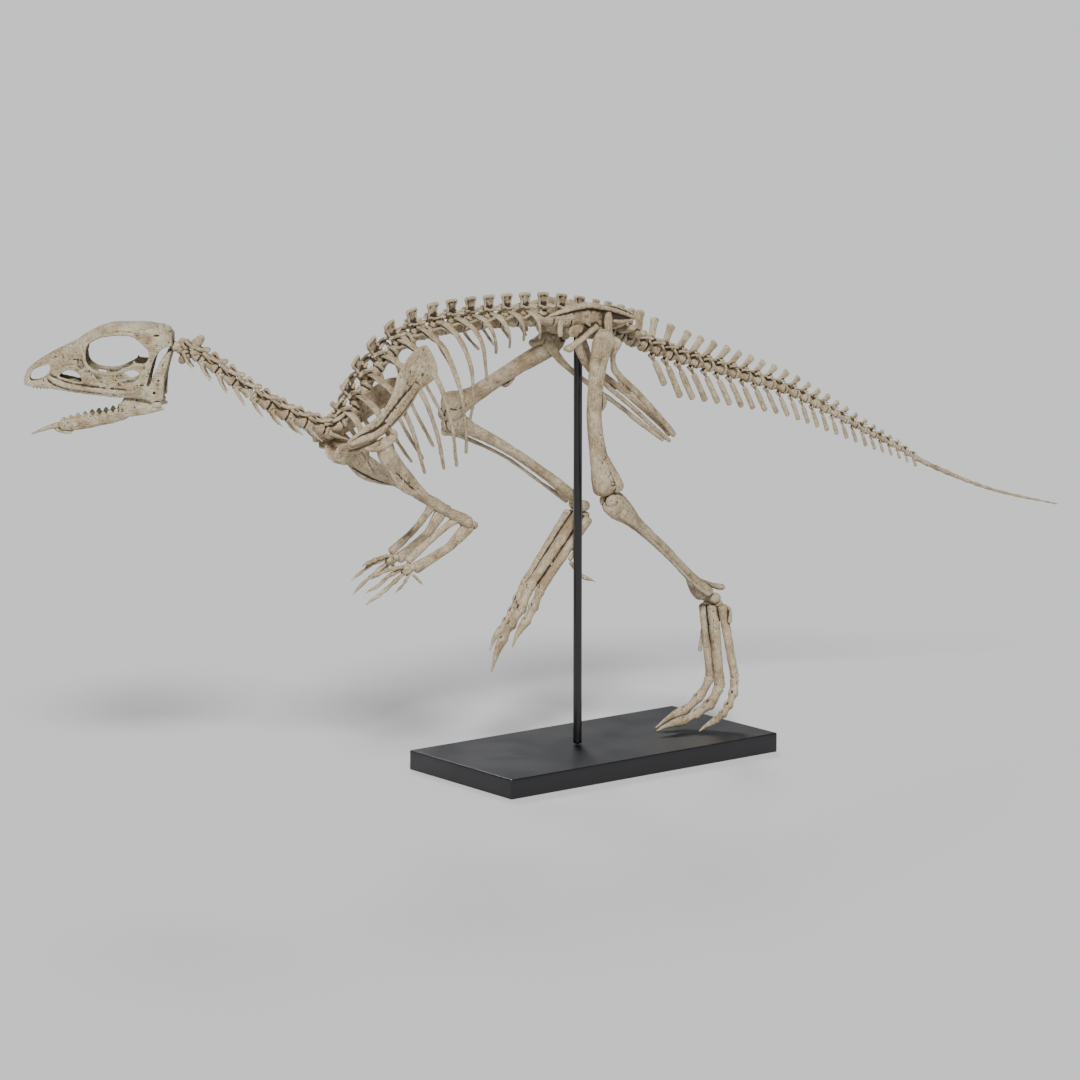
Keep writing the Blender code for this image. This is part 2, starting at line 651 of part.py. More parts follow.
def tail_length(first, last):
    """One length of the tail with its spines, side processes and chevrons."""
    pieces = [tail_centra(first, last)]
    for index in range(first, last):
        s = (TAIL_EDGES[index] + TAIL_EDGES[index + 1]) / 2
        scale = tail_size(TAIL_SCALE, s)
        lean = TAIL_SPINE_LEANS[min(index, len(TAIL_SPINE_LEANS) - 1)]
        pieces.append(plate(s - 2, 2, tail_size(TAIL_SPINE_TOP, s),
                            np.multiply(TAIL_SPINE_HALF_LENGTH, scale),
                            np.multiply(TAIL_SPINE_HALF_WIDTH, scale), lean))
        if index < TAIL_PROCESS_COUNT:
            reach = between(TAIL_PROCESS_REACH, index / (TAIL_PROCESS_COUNT - 1))
            for side in (LEFT, RIGHT):
                pieces.append(arm(s, (0, 5, 3), (3, 7, reach), *TAIL_PROCESS_SIZE, 0.7, side))
        if index > 0:
            length = tail_size(CHEVRON_LENGTH, s) * (FIRST_CHEVRON_PART if index == 1 else 1)
            root = s + 0.2 * TAIL_PITCHES[index]
            end = (CHEVRON_RUN[0] * length, -CHEVRON_RUN[1] * length, 0)
            half_width, half_depth = np.multiply(CHEVRON_SIZE, scale)
            pieces.append(arm(root, (0, -3 * scale, 0), end, half_width, half_depth, 0.9))
    return pieces


def tail_tip():
    """The thin last length, which has no spines."""
    start = TAIL_EDGES[-1] + GAP / 2
    stations = np.linspace(start, LINE.length[-1], TAIL_TIP_RINGS)
    path = [LINE.place(s) for s in stations]
    sizes = np.linspace(TAIL_TIP_RADIUS[0], TAIL_TIP_RADIUS[1], TAIL_TIP_RINGS)
    return [bone(path, sizes, sizes, ahead=[LINE.direction(s) for s in stations])]


def head(ahead, out, up):
    """A place on the head: ahead of the neck joint, out to the animal's left, and up."""
    forward = np.array([-math.cos(SKULL_HEADING), math.sin(SKULL_HEADING), 0])
    left = np.array([-math.sin(SKULL_HEADING), -math.cos(SKULL_HEADING), 0])
    return np.array(SKULL_PLACE) + ahead * forward + out * left + up * np.array(UP)


HEAD_FORWARD = head(1, 0, 0) - head(0, 0, 0)
HEAD_LEFT = head(0, 1, 0) - head(0, 0, 0)


def skull_rings(grow=0):
    """Eight-sided rings across the head from the beak to the back of the skull."""
    rings = []
    for ahead, top, bottom, top_half, bottom_half in SKULL_SECTIONS:
        rise = top - bottom
        top, bottom = top + grow, bottom - grow
        top_half, bottom_half = top_half + grow, bottom_half + grow
        outline = [(top_half * 0.6, top), (top_half, top - 0.14 * rise),
                   (bottom_half, bottom + 0.12 * rise), (bottom_half * 0.85, bottom)]
        ring = [head(ahead, out, up) for out, up in outline]
        ring += [head(ahead, -out, up) for out, up in reversed(outline)]
        rings.append(ring)
    return np.array(rings)


def window(outline, inner, outer):
    """A cutter through the skull's side: an outline (ahead, up) from inner to outer."""
    rings = [[head(ahead, out, up) for ahead, up in outline] for out in (inner, outer)]
    return {"rings": lambda grow: np.array(rings)}


def orbit_outline(count=14):
    middle, height, half_length, half_height, tilt = ORBIT
    points = []
    for turn in np.arange(count) * 2 * math.pi / count:
        x = half_length * math.cos(turn)
        y = half_height * math.sin(turn)
        points.append((middle + x * math.cos(tilt) - y * math.sin(tilt),
                       height + x * math.sin(tilt) + y * math.cos(tilt)))
    return points


def skull_windows():
    cuts = [window(outline, -CHEEK_THROUGH, CHEEK_THROUGH)
            for outline in (orbit_outline(), CHEEK_OPENING, NOSTRIL)]
    slit = [head(ahead, 0, up) for ahead, up in QUADRATE_SLIT]
    cuts.append(bone(slit, QUADRATE_SLIT_HALF, CHEEK_THROUGH / math.sqrt(2), 4, HEAD_LEFT))
    for side in (LEFT, RIGHT):
        cuts.append(window(SNOUT_OPENING, side * SNOUT_POCKET_FLOOR, side * CHEEK_THROUGH))
        roof = [[head(ahead, side * out, up) for ahead, out in ROOF_OPENING] for up in ROOF_CUT]
        cuts.append({"rings": lambda grow, roof=roof: np.array(roof)})
    return cuts


def tooth(root, tip, half_size):
    return bone([root, tip], [half_size, 0.4], [half_size * 0.7, 0.4], 4, HEAD_FORWARD)


def condyle():
    sizes = [half for _, half in CONDYLE]
    return bone([head(*place) for place, _ in CONDYLE], sizes, sizes)


def skull():
    pieces = [{"rings": skull_rings}, condyle()]
    for side in (LEFT, RIGHT):
        for k in range(BEAK_TEETH):
            ahead = BEAK_TOOTH["first"] - BEAK_TOOTH["pitch"] * k
            out = side * (BEAK_TOOTH["out"] + BEAK_TOOTH["flare"] * k)
            top, tip = head(ahead, out, BEAK_TOOTH["top"]), head(ahead, out, BEAK_TOOTH["tip"])
            pieces.append(tooth(top, tip, BEAK_TOOTH["half"]))
    return pieces


def jaw_half(side):
    sections = np.array(JAW_SECTIONS)
    path = [head(a, side * b, u) for a, b, u in sections[:, :3]]
    pieces = [bone(path, sections[:, 3], sections[:, 4], 6)]
    for k in range(LOWER_TEETH):
        part = k / (LOWER_TEETH - 1)
        ahead = between(LOWER_TOOTH_ROW, part)
        out = side * np.interp(ahead, sections[:, 0], sections[:, 1])
        up = np.interp(ahead, sections[:, 0], sections[:, 2] + sections[:, 4])
        height = 5.5 - 3 * abs(part - 0.4)
        pieces.append(tooth(head(ahead, out, up - 3), head(ahead - 0.8, out, up + height), 2.5))
    return pieces


def lower_jaw():
    tip = [head(*place) for place in PREDENTARY]
    return jaw_half(LEFT) + jaw_half(RIGHT) + [bone(tip, [7, 6, 3, 1.2], [4.5, 3.6, 2.2, 1.0])]


def scapula(side):
    path = np.array(SCAPULA[side])
    blade = bone(path, SCAPULA_HALF_THICK, SCAPULA_HALF_WIDTH[side], 6, SCAPULA_UP[side], 9)
    ledge = [bone(LEDGE, [3, 4, 3.6, 2], [3, 4.6, 4.4, 2.4], 6)] if side == LEFT else []
    return [blade] + ledge


def coracoid(side):
    return [on_side(bone(CORACOID, [11, 13, 10], [4, 3, 2.4], 6, CORACOID_UP), side)]


def sternum(side):
    return [on_side(bone(STERNUM, 1.7, [9, 17, 8], 6, STERNUM_UP), side)]


def ilium(side):
    blade = bone(ILIUM, ILIUM_THICKNESS, ILIUM_HALF_HEIGHT, 6)
    crest = bone(CREST, [2, 3.4, 4, 4, 3.8, 3.4, 2], [1.5, 2.6, 3.2, 3.4, 3.2, 2.8, 1.6], 6)
    pubic = bone(PUBIC_ROOT, [4, 4, 4.6, 4], [4, 3.6, 4.6, 4], 6)
    ischial = bone(ISCHIAL_ROOT, [5, 5, 6], [7.5, 6, 6.5], 6, TAILWARD)
    return [on_side(piece, side) for piece in (blade, crest, pubic, ischial)]


def pubis(side):
    rod = bone(PUBIS, [6, 5, 3, 2.6, 2.4, 2.2, 1.6], [9, 7, 4.5, 3.4, 3.2, 3, 1.6])
    prong = bone(PUBIC_PRONG, [3.5, 3, 2], [6, 4, 2.5])
    return [on_side(piece, side) for piece in (rod, prong)]


def ischium(side):
    shaft = bone(ISCHIUM, [6, 4, 3, 2.6, 2.4, 2.6], [11, 8, 6, 5.5, 5, 4.5])
    return [on_side(shaft, side)]


def humerus(side):
    path = np.array(HUMERUS[side])
    shaft = bone(path, [9, 9, 7, 5.5, 6.5, 9], [10, 13, 11, 6, 6.5, 8])
    crest = bone([path[1] + (-2, side * 4, -8), path[2] + (-4, side * 4, -9), path[3] + (6, 0, -4)],
                 [2.5, 3, 2], [5, 7, 3])
    return [shaft, crest]


def radius_bone(side):
    return [bone(RADIUS_BONE[side], [5, 3.6, 3.4, 5], [5.5, 4, 3.6, 5])]


def ulna(side):
    return [bone(ULNA[side], [5.5, 5.5, 4, 4.5, 6], [5, 7, 4.5, 5, 6.5])]


def toe_bone(path, radius, tip=0.8, knots=9):
    """A finger or toe: a curve that swells at each joint and ends in a claw."""
    parts = np.linspace(0, 1, knots)
    sizes = radius * (1 - 0.35 * parts) * (1 + 0.2 * np.cos(parts * math.pi * (knots - 1)))
    sizes[-1] = tip
    return bone(flow(path, knots), sizes, sizes, 5)


def hand(side):
    centre = np.array(WRIST[side], float)
    palm = bone([centre + (8, 0, 4), centre, centre + (-9, 0, -2)], [7, 8, 6], [7, 9, 7])
    fingers = [toe_bone(path, size, 0.6, 7) for path, size in zip(FINGERS[side], FINGER_RADIUS)]
    return [palm] + fingers


def femur(side):
    path = np.array(FEMUR[side])
    shaft = bone(path, FEMUR_HALF_WIDTH, FEMUR_HALF_DEPTH, 8, UP if side == RIGHT else (-1, 0, 0))
    ball = bone([path[0] + (-2, 0, -8), (HIP[0], side * 31, HIP[1])], [10, 9.5], [10, 9.5], 8)
    middle = path[3] * 0.6 + path[4] * 0.4
    back = np.array((9, 0, -2) if side == LEFT else (-3, 0, -9))
    along = unit(path[4] - path[3])
    trochanter = bone([middle - along * 16, middle + back * 1.3, middle + along * 12], 3, [3, 7, 3],
                      4, back)
    return [shaft, ball, trochanter]


def tibia(side):
    up = (0.6, 0, 0.8) if side == LEFT else (0.4, 0, 0.9)
    return [bone(TIBIA[side], TIBIA_HALF_WIDTH, TIBIA_HALF_DEPTH, 8, up)]


def fibula(side):
    return [bone(FIBULA[side], [4, 4, 2.8, 2.2, 2.2, 3.6], [8, 7, 3.2, 2.2, 2.2, 4], 6)]


def ankle(side):
    centre = np.array(ANKLE[side], float)
    ends = [centre + (0, 15, 0), centre, centre - (0, 15, 0)]
    return [bone(ends, [8, 7, 8], [7, 6, 7], 8)]


def metatarsus(side):
    pieces = []
    for top, end, radius in zip(METATARSAL_TOPS[side], METATARSAL_ENDS[side], METATARSAL_RADIUS):
        top, end = np.array(top, float), np.array(end, float)
        path = [top, top + (end - top) * 0.2, (top + end) / 2, top + (end - top) * 0.85, end]
        sizes = np.array([1.25, 0.95, 0.8, 0.85, 1.15]) * radius
        pieces.append(bone(path, sizes, sizes, 6, TAILWARD))
    tops = np.array(METATARSAL_TOPS[side], float)
    pieces.append(bone(tops, 5, 5.5, 6))
    for path in SPLINTS[side]:
        pieces.append(bone(path, [3, 2.4, 3], [3, 2.4, 3], 5, TAILWARD))
    return pieces


def toe(side, index):
    path = [METATARSAL_ENDS[side][index]] + TOES[side][index]
    return [toe_bone(path, TOE_RADIUS[index])]


def stand_rod():
    path = [(ROD_X, 0, BASE_HEIGHT + GAP), (ROD_X, 0, ROD_TOP)]
    return [bone(path, ROD_RADIUS, ROD_RADIUS, ROD_SIDES, TAILWARD)]


def stand_base():
    """The flat base, with a small bevel round its upper edges."""
    bpy.ops.mesh.primitive_cube_add(size=1, location=(0, 0, BASE_HEIGHT * MM / 2))
    item = bpy.context.active_object
    item.name = "stand_base"
    work = bmesh.new()
    work.from_mesh(item.data)
    size = Vector((BASE_LENGTH, BASE_WIDTH, BASE_HEIGHT)) * MM
    bmesh.ops.scale(work, vec=size, verts=work.verts)
    upper = [e for e in work.edges if all(v.co.z > 0 for v in e.verts)]
    bmesh.ops.bevel(work, geom=upper, offset=BASE_BEVEL * MM, segments=2, affect="EDGES", profile=0.5)
    work.to_mesh(item.data)
    work.free()
    paint(item, BASE_FINISH)


def build_middle():
    node("skull", skull(), cuts=skull_windows(), finish=SKULL_FINISH)
    node("lower_jaw", lower_jaw(), clear_of=[{"rings": skull_rings}], finish=SKULL_FINISH)
    node("neck_front", neck(0, NECK_SPLIT), clear_of=[condyle()])
    chest_front = [back_centra()]
    for side in (LEFT, RIGHT):
        chest_front += [rib(0, side)] + back_vertebra(0, side)
    node("neck_rear", neck(NECK_SPLIT, NECK_COUNT), clear_of=chest_front)
    for side in (LEFT, RIGHT):
        node("chest_" + SIDE_NAME[side], chest(side), cuts=[sagittal_cut(side)])
    node("sacrum", sacrum(), clear_of=ilium(LEFT) + ilium(RIGHT))
    spans = list(zip(TAIL_SPLITS, TAIL_SPLITS[1:]))
    for number, (first, last) in enumerate(spans, 1):
        behind = [tail_centra(*spans[number])] if number < len(spans) else tail_tip()
        node("tail_%d" % number, tail_length(first, last), clear_of=behind)
    node("tail_%d" % len(TAIL_SPLITS), tail_tip())


def build_girdles(side):
    word = SIDE_NAME[side]
    node("ilium_" + word, ilium(side))
    node("pubis_" + word, pubis(side), clear_of=ilium(side))
    node("ischium_" + word, ischium(side), clear_of=ilium(side) + pubis(side))
    node("scapula_" + word, scapula(side), clear_of=ribs(side))
    node("coracoid_" + word, coracoid(side), clear_of=scapula(side) + ribs(side))
    node("sternum_" + word, sternum(side), clear_of=coracoid(side) + ribs(side))


def build_arm(side):
    word = SIDE_NAME[side]
    node("humerus_" + word, humerus(side), clear_of=scapula(side) + coracoid(side) + ribs(side))
    node("radius_" + word, radius_bone(side), clear_of=humerus(side))
    node("ulna_" + word, ulna(side), clear_of=humerus(side) + radius_bone(side))
    node("hand_" + word, hand(side), clear_of=radius_bone(side) + ulna(side))


def build_leg(side):
    word = SIDE_NAME[side]
    node("femur_" + word, femur(side), clear_of=ilium(side) + pubis(side) + ischium(side))
    node("tibia_" + word, tibia(side), clear_of=femur(side))
    node("fibula_" + word, fibula(side), clear_of=femur(side) + tibia(side))
    node("ankle_" + word, ankle(side), clear_of=tibia(side) + fibula(side))
    node("metatarsus_" + word, metatarsus(side), clear_of=ankle(side) + tibia(side) + fibula(side))
    for index in range(3):
        node("toe_%d_%s" % (index + 2, word), toe(side, index), clear_of=metatarsus(side))


def main():
    clear_scene()
    stand_base()
    node("stand_rod", stand_rod(), clear_of=[back_centra()], finish=ROD_FINISH)
    build_middle()
    for side in (LEFT, RIGHT):
        build_girdles(side)
        build_arm(side)
        build_leg(side)
    node("toe_1_right", [toe_bone(HALLUX, HALLUX_RADIUS, 0.6, 7)], clear_of=metatarsus(RIGHT))


main()
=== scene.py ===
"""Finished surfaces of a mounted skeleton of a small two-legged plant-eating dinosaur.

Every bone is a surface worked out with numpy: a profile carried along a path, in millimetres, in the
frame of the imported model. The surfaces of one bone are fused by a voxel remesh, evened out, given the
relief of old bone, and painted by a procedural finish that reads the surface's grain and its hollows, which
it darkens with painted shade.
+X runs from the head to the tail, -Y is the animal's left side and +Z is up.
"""

import math

import bmesh
import bpy
import numpy as np
from bpy.props import FloatProperty, FloatVectorProperty, PointerProperty
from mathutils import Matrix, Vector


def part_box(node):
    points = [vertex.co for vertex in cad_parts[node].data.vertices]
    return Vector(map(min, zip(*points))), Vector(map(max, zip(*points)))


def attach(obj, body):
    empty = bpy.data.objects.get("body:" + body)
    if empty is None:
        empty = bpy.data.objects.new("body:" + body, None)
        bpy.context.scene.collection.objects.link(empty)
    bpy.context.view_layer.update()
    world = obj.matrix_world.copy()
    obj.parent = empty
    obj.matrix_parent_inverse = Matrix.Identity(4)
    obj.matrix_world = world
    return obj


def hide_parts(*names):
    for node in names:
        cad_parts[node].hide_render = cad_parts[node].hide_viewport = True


bl_info = {
    "name": "Mounted Dinosaur Skeleton",
    "version": (1, 0, 0),
    "blender": (4, 5, 0),
    "location": "View3D > Sidebar > Skeleton",
    "description": "Builds the finished bones and stand of a mounted dinosaur skeleton",
    "category": "Object",
}

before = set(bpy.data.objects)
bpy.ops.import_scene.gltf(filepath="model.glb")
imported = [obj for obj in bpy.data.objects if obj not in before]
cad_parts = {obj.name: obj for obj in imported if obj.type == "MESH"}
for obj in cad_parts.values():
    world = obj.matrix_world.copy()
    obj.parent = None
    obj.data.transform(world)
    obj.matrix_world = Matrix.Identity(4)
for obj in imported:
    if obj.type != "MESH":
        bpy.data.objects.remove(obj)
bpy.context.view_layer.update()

MM = 0.001
LEFT = -1
RIGHT = 1
SIDES = (LEFT, RIGHT)
SIDE_NAME = {LEFT: "left", RIGHT: "right"}
UP = (0, 0, 1)
TAILWARD = (1, 0, 0)

EVEN_ROUNDS = 2
EVEN_PULL = 0.55
EVEN_PUSH = 0.57

# Hollows that the finish darkens with painted shade: attribute, rounds of smoothing that show them, gain
HOLLOWS = [("hollow", 3, 3.2), ("broad_hollow", 12, 1.3), ("deep_hollow", 40, 0.55)]
HOLLOW_SHARE = 0.6

# Value noise: lattice primes, mixers, and the range of the mixed number
NOISE_PRIMES = (73856093, 19349663, 83492791, 2654435)
NOISE_MIXER = 1274126177
NOISE_MASK = 0xFFFF
NOISE_SEED_STEP = 7.31

# Relief, for lumps, unevenness and pits: size in millimetres and height
SWELL = (11, 0.35)
UNEVEN = (4.5, 0.22)
PIT_SIZE = 2.6
PIT_PATCH_SIZE = 17
PIT_DEPTH = 0.9
PIT_LEVEL = 0.35

# Tube rings: share of even spacing, and extra rings close to both ends
EVEN_SPACING = 0.6
END_RINGS = [0.004, 0.012, 0.025, 0.045]
LEAST_HALF_SIZE = 0.3
WAVE_RATE = 0.11

# The spine's centre line, from the back of the skull to the tip of the tail
SPINE_LINE = [
    (-570.6, 78.6, 571.5), (-540.8, 55.3, 546.3), (-509.8, 34, 518.4), (-474.9, 15.9, 492.1),
    (-432.6, 3.9, 471.5), (-408.3, 0.9, 467.2), (-382, 0, 480), (-346, 0, 527),
    (-298, 0, 563), (-243.5, 0, 574.5), (-159, 0, 577), (-82.5, 0, 574),
    (-31, 0, 566), (16, 0, 555), (50, 0, 541.5), (88, 0, 526.5),
    (151.5, 0, 505), (238, 0, 478.6), (325, 0, 449.6), (402.6, 0, 414),
    (469, 0, 381.5), (524, 0, 355.4), (580, 0, 327), (695, 0, 282.6), (824, 0, 248.5),
]
NECK_FRONT_X = -569.8
NECK_SPLIT = 4
BACK_FRONT_X = -395.5
SACRUM_FRONT_X = -17.5
TAIL_FRONT_X = 58
NECK_COUNT = 9
BACK_COUNT = 15
SACRAL_COUNT = 4
TAIL_PITCHES = [22.5] * 13 + [20] * 7 + [17.5] * 6
TAIL_SPLITS = [0, 7, 15, 26]
TAIL_VOXELS = (0.95, 0.85, 0.7)

# Half sizes of the centra
NECK_RADIUS = (6.8, 9)
BACK_RADIUS = (8.5, 9.5)
SACRAL_RADIUS = 10
TAIL_RADIUS = (10.6, 3.9)
TAIL_TIP_RADIUS = (3.7, 1.1)
WAIST = 0.70
TAIL_WAIST = 0.58
DISC_GAP = 1.1

# Points of the first neck vertebra's star (ahead of the neck joint, up)
NECK_STAR = [(1, 9), (-27, 12), (-30, -8), (2, -21), (6, -4)]

# Processes of a neck vertebra: start and end (back, up, out), half sizes, share left at the tip, bend
NECK_ARMS = [
    ((-2, 8, 3), (17, 14.5, 8), 3.3, 2.8, 0.8, (0, -1.4, 0)),
    ((15, 13.4, 7.6), (18, 15, 8.6), 3.2, 2.2, 0.9),
    ((0, 6, 3.5), (-13, 9, 9), 2.9, 2.6, 0.9),
    ((-3, 0, 3), (-8, -3.5, 7.5), 2.9, 2.6, 0.9),
]

# Joint processes ahead and behind: direction, rise of the root, rise of the tip, part of the spread
JOINT_ARMS = [(-1, 0, 1.2, 1), (1, 1, 3.2, 0.85)]

# Vertebrae
BACK_SPINE_TOP = 34.5
BACK_SPINE_RISE = (10, 4)
BACK_SPINE_LEAN = (0.12, -0.05)
SIDE_PROCESS_REACH = (20, 16.5)
SACRAL_SPINE_TOP = (34, 37)
SACRAL_SPINE_LEAN = (0.05, -0.22)
TAIL_SCALE = (1, 0.42)
TAIL_SPINE_TOP = (40, 6)
TAIL_SPINE_LEANS = [-0.26, -0.12, 0.1, 0.38, 0.45, 0.53, 0.6]
TAIL_PROCESS_COUNT = 11
TAIL_PROCESS_REACH = (24, 10)
CHEVRON_LENGTH = (62, 11)
FIRST_CHEVRON_PART = 0.8
CHEVRON_RUN = (0.75, 0.86)

# Ribs: half width of the chest, tip (x, z) and the tip's half width
RIB_WIDTH = [26, 40, 50, 58, 62, 60, 56, 47, 32, 27, 24, 22]
RIB_TIP = [(-366, 424), (-327, 408), (-292, 404), (-264, 407), (-246, 409), (-230, 423),
           (-220, 463), (-197, 510), (-172, 541), (-149, 545), (-126, 552), (-101, 553)]
RIB_TIP_WIDTH = [17, 25, 31, 33, 34, 33, 28, 31, 17, 15, 14, 13]
RIB_BOW = [(0, 0.12), (0.04, 0.5), (0.16, 0.86), (0.42, 1.0), (0.72, 0.85)]
RIB_BLADE = [3.6, 5.9, 5.3, 3.6, 2.8, 2.5]
RIB_THICKNESS = [2.6, 2.0, 1.9, 1.9, 1.8, 1.7]
RIB_ROOT_UP = 12

# Skull: places are (ahead of the neck joint, up), half widths are to each side
SKULL_PLACE = (-570.6, 78.6, 571.5)
SKULL_HEADING = math.radians(38)
SKULL_SECTIONS = [
    # ahead, top, bottom, half width at the top, half width at the bottom
    (187.5, -38, -46, 2.5, 3),
    (179, -24, -48, 5, 8),
    (156, -8, -50, 9, 14),
    (125, 7, -53.5, 15, 21),
    (106, 19, -55.5, 19, 26),
    (84, 27.5, -57.5, 22, 31),
    (60, 29, -58.5, 25, 34),
    (40, 28.5, -60.5, 28, 34),
    (25.5, 26.5, -67.5, 29, 32),
    (20, 25.5, -42, 28, 31),
    (9, 17, -2, 21, 25),
]
ORBIT = [(112.3, -6.2), (109.2, 3.1), (100.9, 9.3), (90.6, 13.4), (72.1, 15.1), (56.6, 14.5), (48, 9.4),
         (41.1, 3.1), (36.4, -2), (35.4, -9.3), (38.7, -16.5), (44.2, -19), (53.5, -18.2), (59.7, -20.6),
         (69, -25.2), (78.2, -28.3), (90, -28.2), (98.8, -26.8), (106, -22.7), (111, -16)]
CHEEK_OPENING = [(75.2, -31.6), (67.9, -28.3), (59.7, -25.4), (51.4, -25.2), (46.9, -28.3),
                 (46.9, -32), (51.4, -37.2), (61.8, -42.3), (65.9, -40.7), (72.1, -35.7)]
SNOUT_OPENING = [(144.2, -34.7), (140.5, -29.9), (133.9, -26.8), (125.7, -27.5), (119.5, -32),
                 (116.4, -37.2), (117.8, -40.3), (125.7, -39.9), (136, -36.8)]
ORBIT_NOTCH = [(103, -25.5), (94.7, -28.5), (90.5, -36.1), (92.2, -41.3), (97.2, -37.4), (101.5, -32)]
NOSTRIL = [(179.7, -39.2), (178.8, -32), (174.1, -26.8), (164.8, -22.7), (156.6, -20.6),
           (155.1, -24.8), (157.6, -32), (163.8, -37.2), (172, -40.3)]
QUADRATE_SLIT = [(3, 1), (17, -3), (26, -14), (32, -28), (37, -43)]
QUADRATE_SLIT_HALF = [2, 3.8, 4, 2.4, 1.2]
ROOF_SLOT = [(31, 14.2), (25, 14.6), (19.3, 15.2), (19.3, 17), (25, 16.6), (31, 16)]
FORAMINA = [(36, -28.9, 1.5), (29.8, -52.3, 2.1), (97, 17.5, 0.8), (150, -43.5, 0.8), (138, -45, 0.8)]
# Raised rims on each side of the skull: line (ahead, up), half size, how deep it sinks into the side
SKULL_RIMS = [
    ([(150, -37), (146, -29.5), (134, -23), (122, -24), (114, -31)], 1.7, 1.2),
    ([(157, -35), (149, -40), (136, -44.5), (112, -48), (84, -50), (60, -51), (47, -50)],
     [2.2, 3.2] + [3.7] * 6 + [3.2, 2.4], 0.6),
    ([(44, -19), (50, -19.5), (56, -21), (66, -26), (77, -31)], 2.0, 1.4),
]
SKULL_WALL = 4.2
CAVITY_SPAN = (26, 147)
SKULL_RINGS = 110
SKULL_RING_POINTS = 56

JAW_SECTIONS = [
    # ahead, out, up, half width, half depth
    (19, 27.5, -71.5, 1.6, 1.4),
    (31, 27, -71.2, 3.2, 4.8),
    (48, 25, -71.8, 2.8, 8.2),
    (62, 23, -71.8, 2.6, 11.5),
    (70, 21.5, -80, 2.8, 6.3),
    (90, 18.5, -85.4, 3.2, 6.4),
    (122, 12, -91.6, 3.6, 7.2),
    (146, 4.5, -94.6, 3.4, 5.4),
]
PREDENTARY = [(138, 0, -95), (150, 0, -95.5), (164, 0, -99.5), (180, 0, -105.5)]
LOWER_TEETH = 9
LOWER_TOOTH_ROW = (76, 142)
BEAK_TEETH = 5
BEAK_TOOTH_FRONT = 176
BEAK_TOOTH_PITCH = 4.4

# Shoulder girdle: the blades of both sides, the rest given for the animal's left side
SCAPULA = {
    LEFT: [(-296, -57, 549), (-312, -57, 541), (-330, -56.5, 526), (-345, -54.5, 500),
           (-365, -51.5, 478), (-387, -47, 463), (-413, -41, 451)],
    RIGHT: [(-262, 58, 497), (-278, 59, 494), (-299, 58, 487), (-321, 56, 475),
            (-347, 52, 463), (-376, 47, 455), (-407, 41, 449)],
}
SCAPULA_HALF_WIDTH = {LEFT: [20, 24, 21, 15.5, 12, 11.5, 6], RIGHT: [15, 17, 16, 13, 11.5, 10.5, 5]}
SCAPULA_HALF_THICK = [2.2, 2.3, 2.4, 2.8, 3.2, 4, 2.4]
SCAPULA_UP = {LEFT: (-0.7, 0, 0.7), RIGHT: (-0.35, 0, 0.93)}
LEDGE = [(-415, -48, 453.5), (-399, -52.5, 459), (-380, -54.5, 464), (-358, -55.5, 479)]
CORACOID = [(-370, -48, 452), (-385, -37, 446), (-402, -20, 440)]
CORACOID_UP = (-0.5, 0.4, 0.75)
STERNUM = [(-411, -10.5, 440), (-392, -11.5, 436), (-371, -10.5, 437)]
STERNUM_UP = (0, -0.42, 0.9)

# Hip girdle, given for the animal's left side
ILIUM = [(-106, -37, 583.5), (-90, -37, 583.5), (-68, -36.5, 585), (-47, -36, 583.5),
         (-24, -35.5, 576.5), (0, -35, 577), (20, -35, 574.5), (38, -35, 571.5)]
ILIUM_HALF_HEIGHT = [1.8, 5.5, 9.5, 13, 16, 12.5, 8.5, 2.5]
CREST = [(-105, -37, 583.5), (-85, -38.5, 588), (-60, -39, 592), (-40, -39, 592.5),
         (-16, -38.5, 587), (8, -38, 580.5), (32, -37, 572)]
PUBIC_ROOT = [(-28, -38, 566), (-45, -38, 556), (-60, -37.5, 547), (-73, -36.5, 540)]
ISCHIAL_ROOT = [(-11, -37, 586), (-12, -39, 572), (-12, -39, 560), (-10, -37.5, 549)]
PUBIS = [(-57, -34, 551), (-50, -30, 536), (-33, -25, 513), (-4, -21, 490),
         (46, -15, 455), (90, -9.5, 422), (117, -6.5, 403)]
PUBIC_PRONG = [(-56, -33, 545), (-66, -32, 542), (-77, -31, 540)]
ISCHIUM = [(4, -34, 549), (4, -29, 526), (16, -21, 502), (62, -13, 467), (104, -6.5, 431),
           (127, -4, 409)]

# Limbs, as they are posed
HUMERUS = {
    LEFT: [(-367, -48, 450), (-356, -46, 430), (-331, -43, 404), (-300, -42, 378),
           (-268, -42, 357), (-236, -42, 341)],
    RIGHT: [(-367, 48, 450), (-353, 45, 430), (-322, 39, 406), (-285, 35, 384),
            (-252, 33, 365), (-221, 33, 348)],
}
RADIUS_BONE = {
    LEFT: [(-247, -41, 346), (-262, -40, 340), (-290, -38, 322), (-324, -36, 300)],
    RIGHT: [(-233, 32, 353), (-247, 31, 338), (-268, 30, 320), (-301, 30, 299)],
}
ULNA = {
    LEFT: [(-228, -42, 332), (-239, -42, 330), (-262, -40, 312), (-290, -38, 299),
           (-314, -37, 289)],
    RIGHT: [(-212, 34, 341), (-222, 34, 337), (-240, 33, 317), (-266, 32, 301),
            (-289, 32, 288)],
}
# Fingers and toes: shares of the bones' lengths, a bone's profile, thinning from bone to bone, the claw
DIGIT_SHARES = [1.3, 1.1, 0.95, 0.9, 0.85]
DIGIT_PROFILE = [1.16, 0.9, 0.78, 0.9, 1.05]
DIGIT_THINNING = 0.09
CLAW_WIDTH = [0.95, 0.9, 0.72, 0.52, 0.32, 0.14]
CLAW_DEPTH = [1.1, 1.05, 0.84, 0.6, 0.36, 0.16]

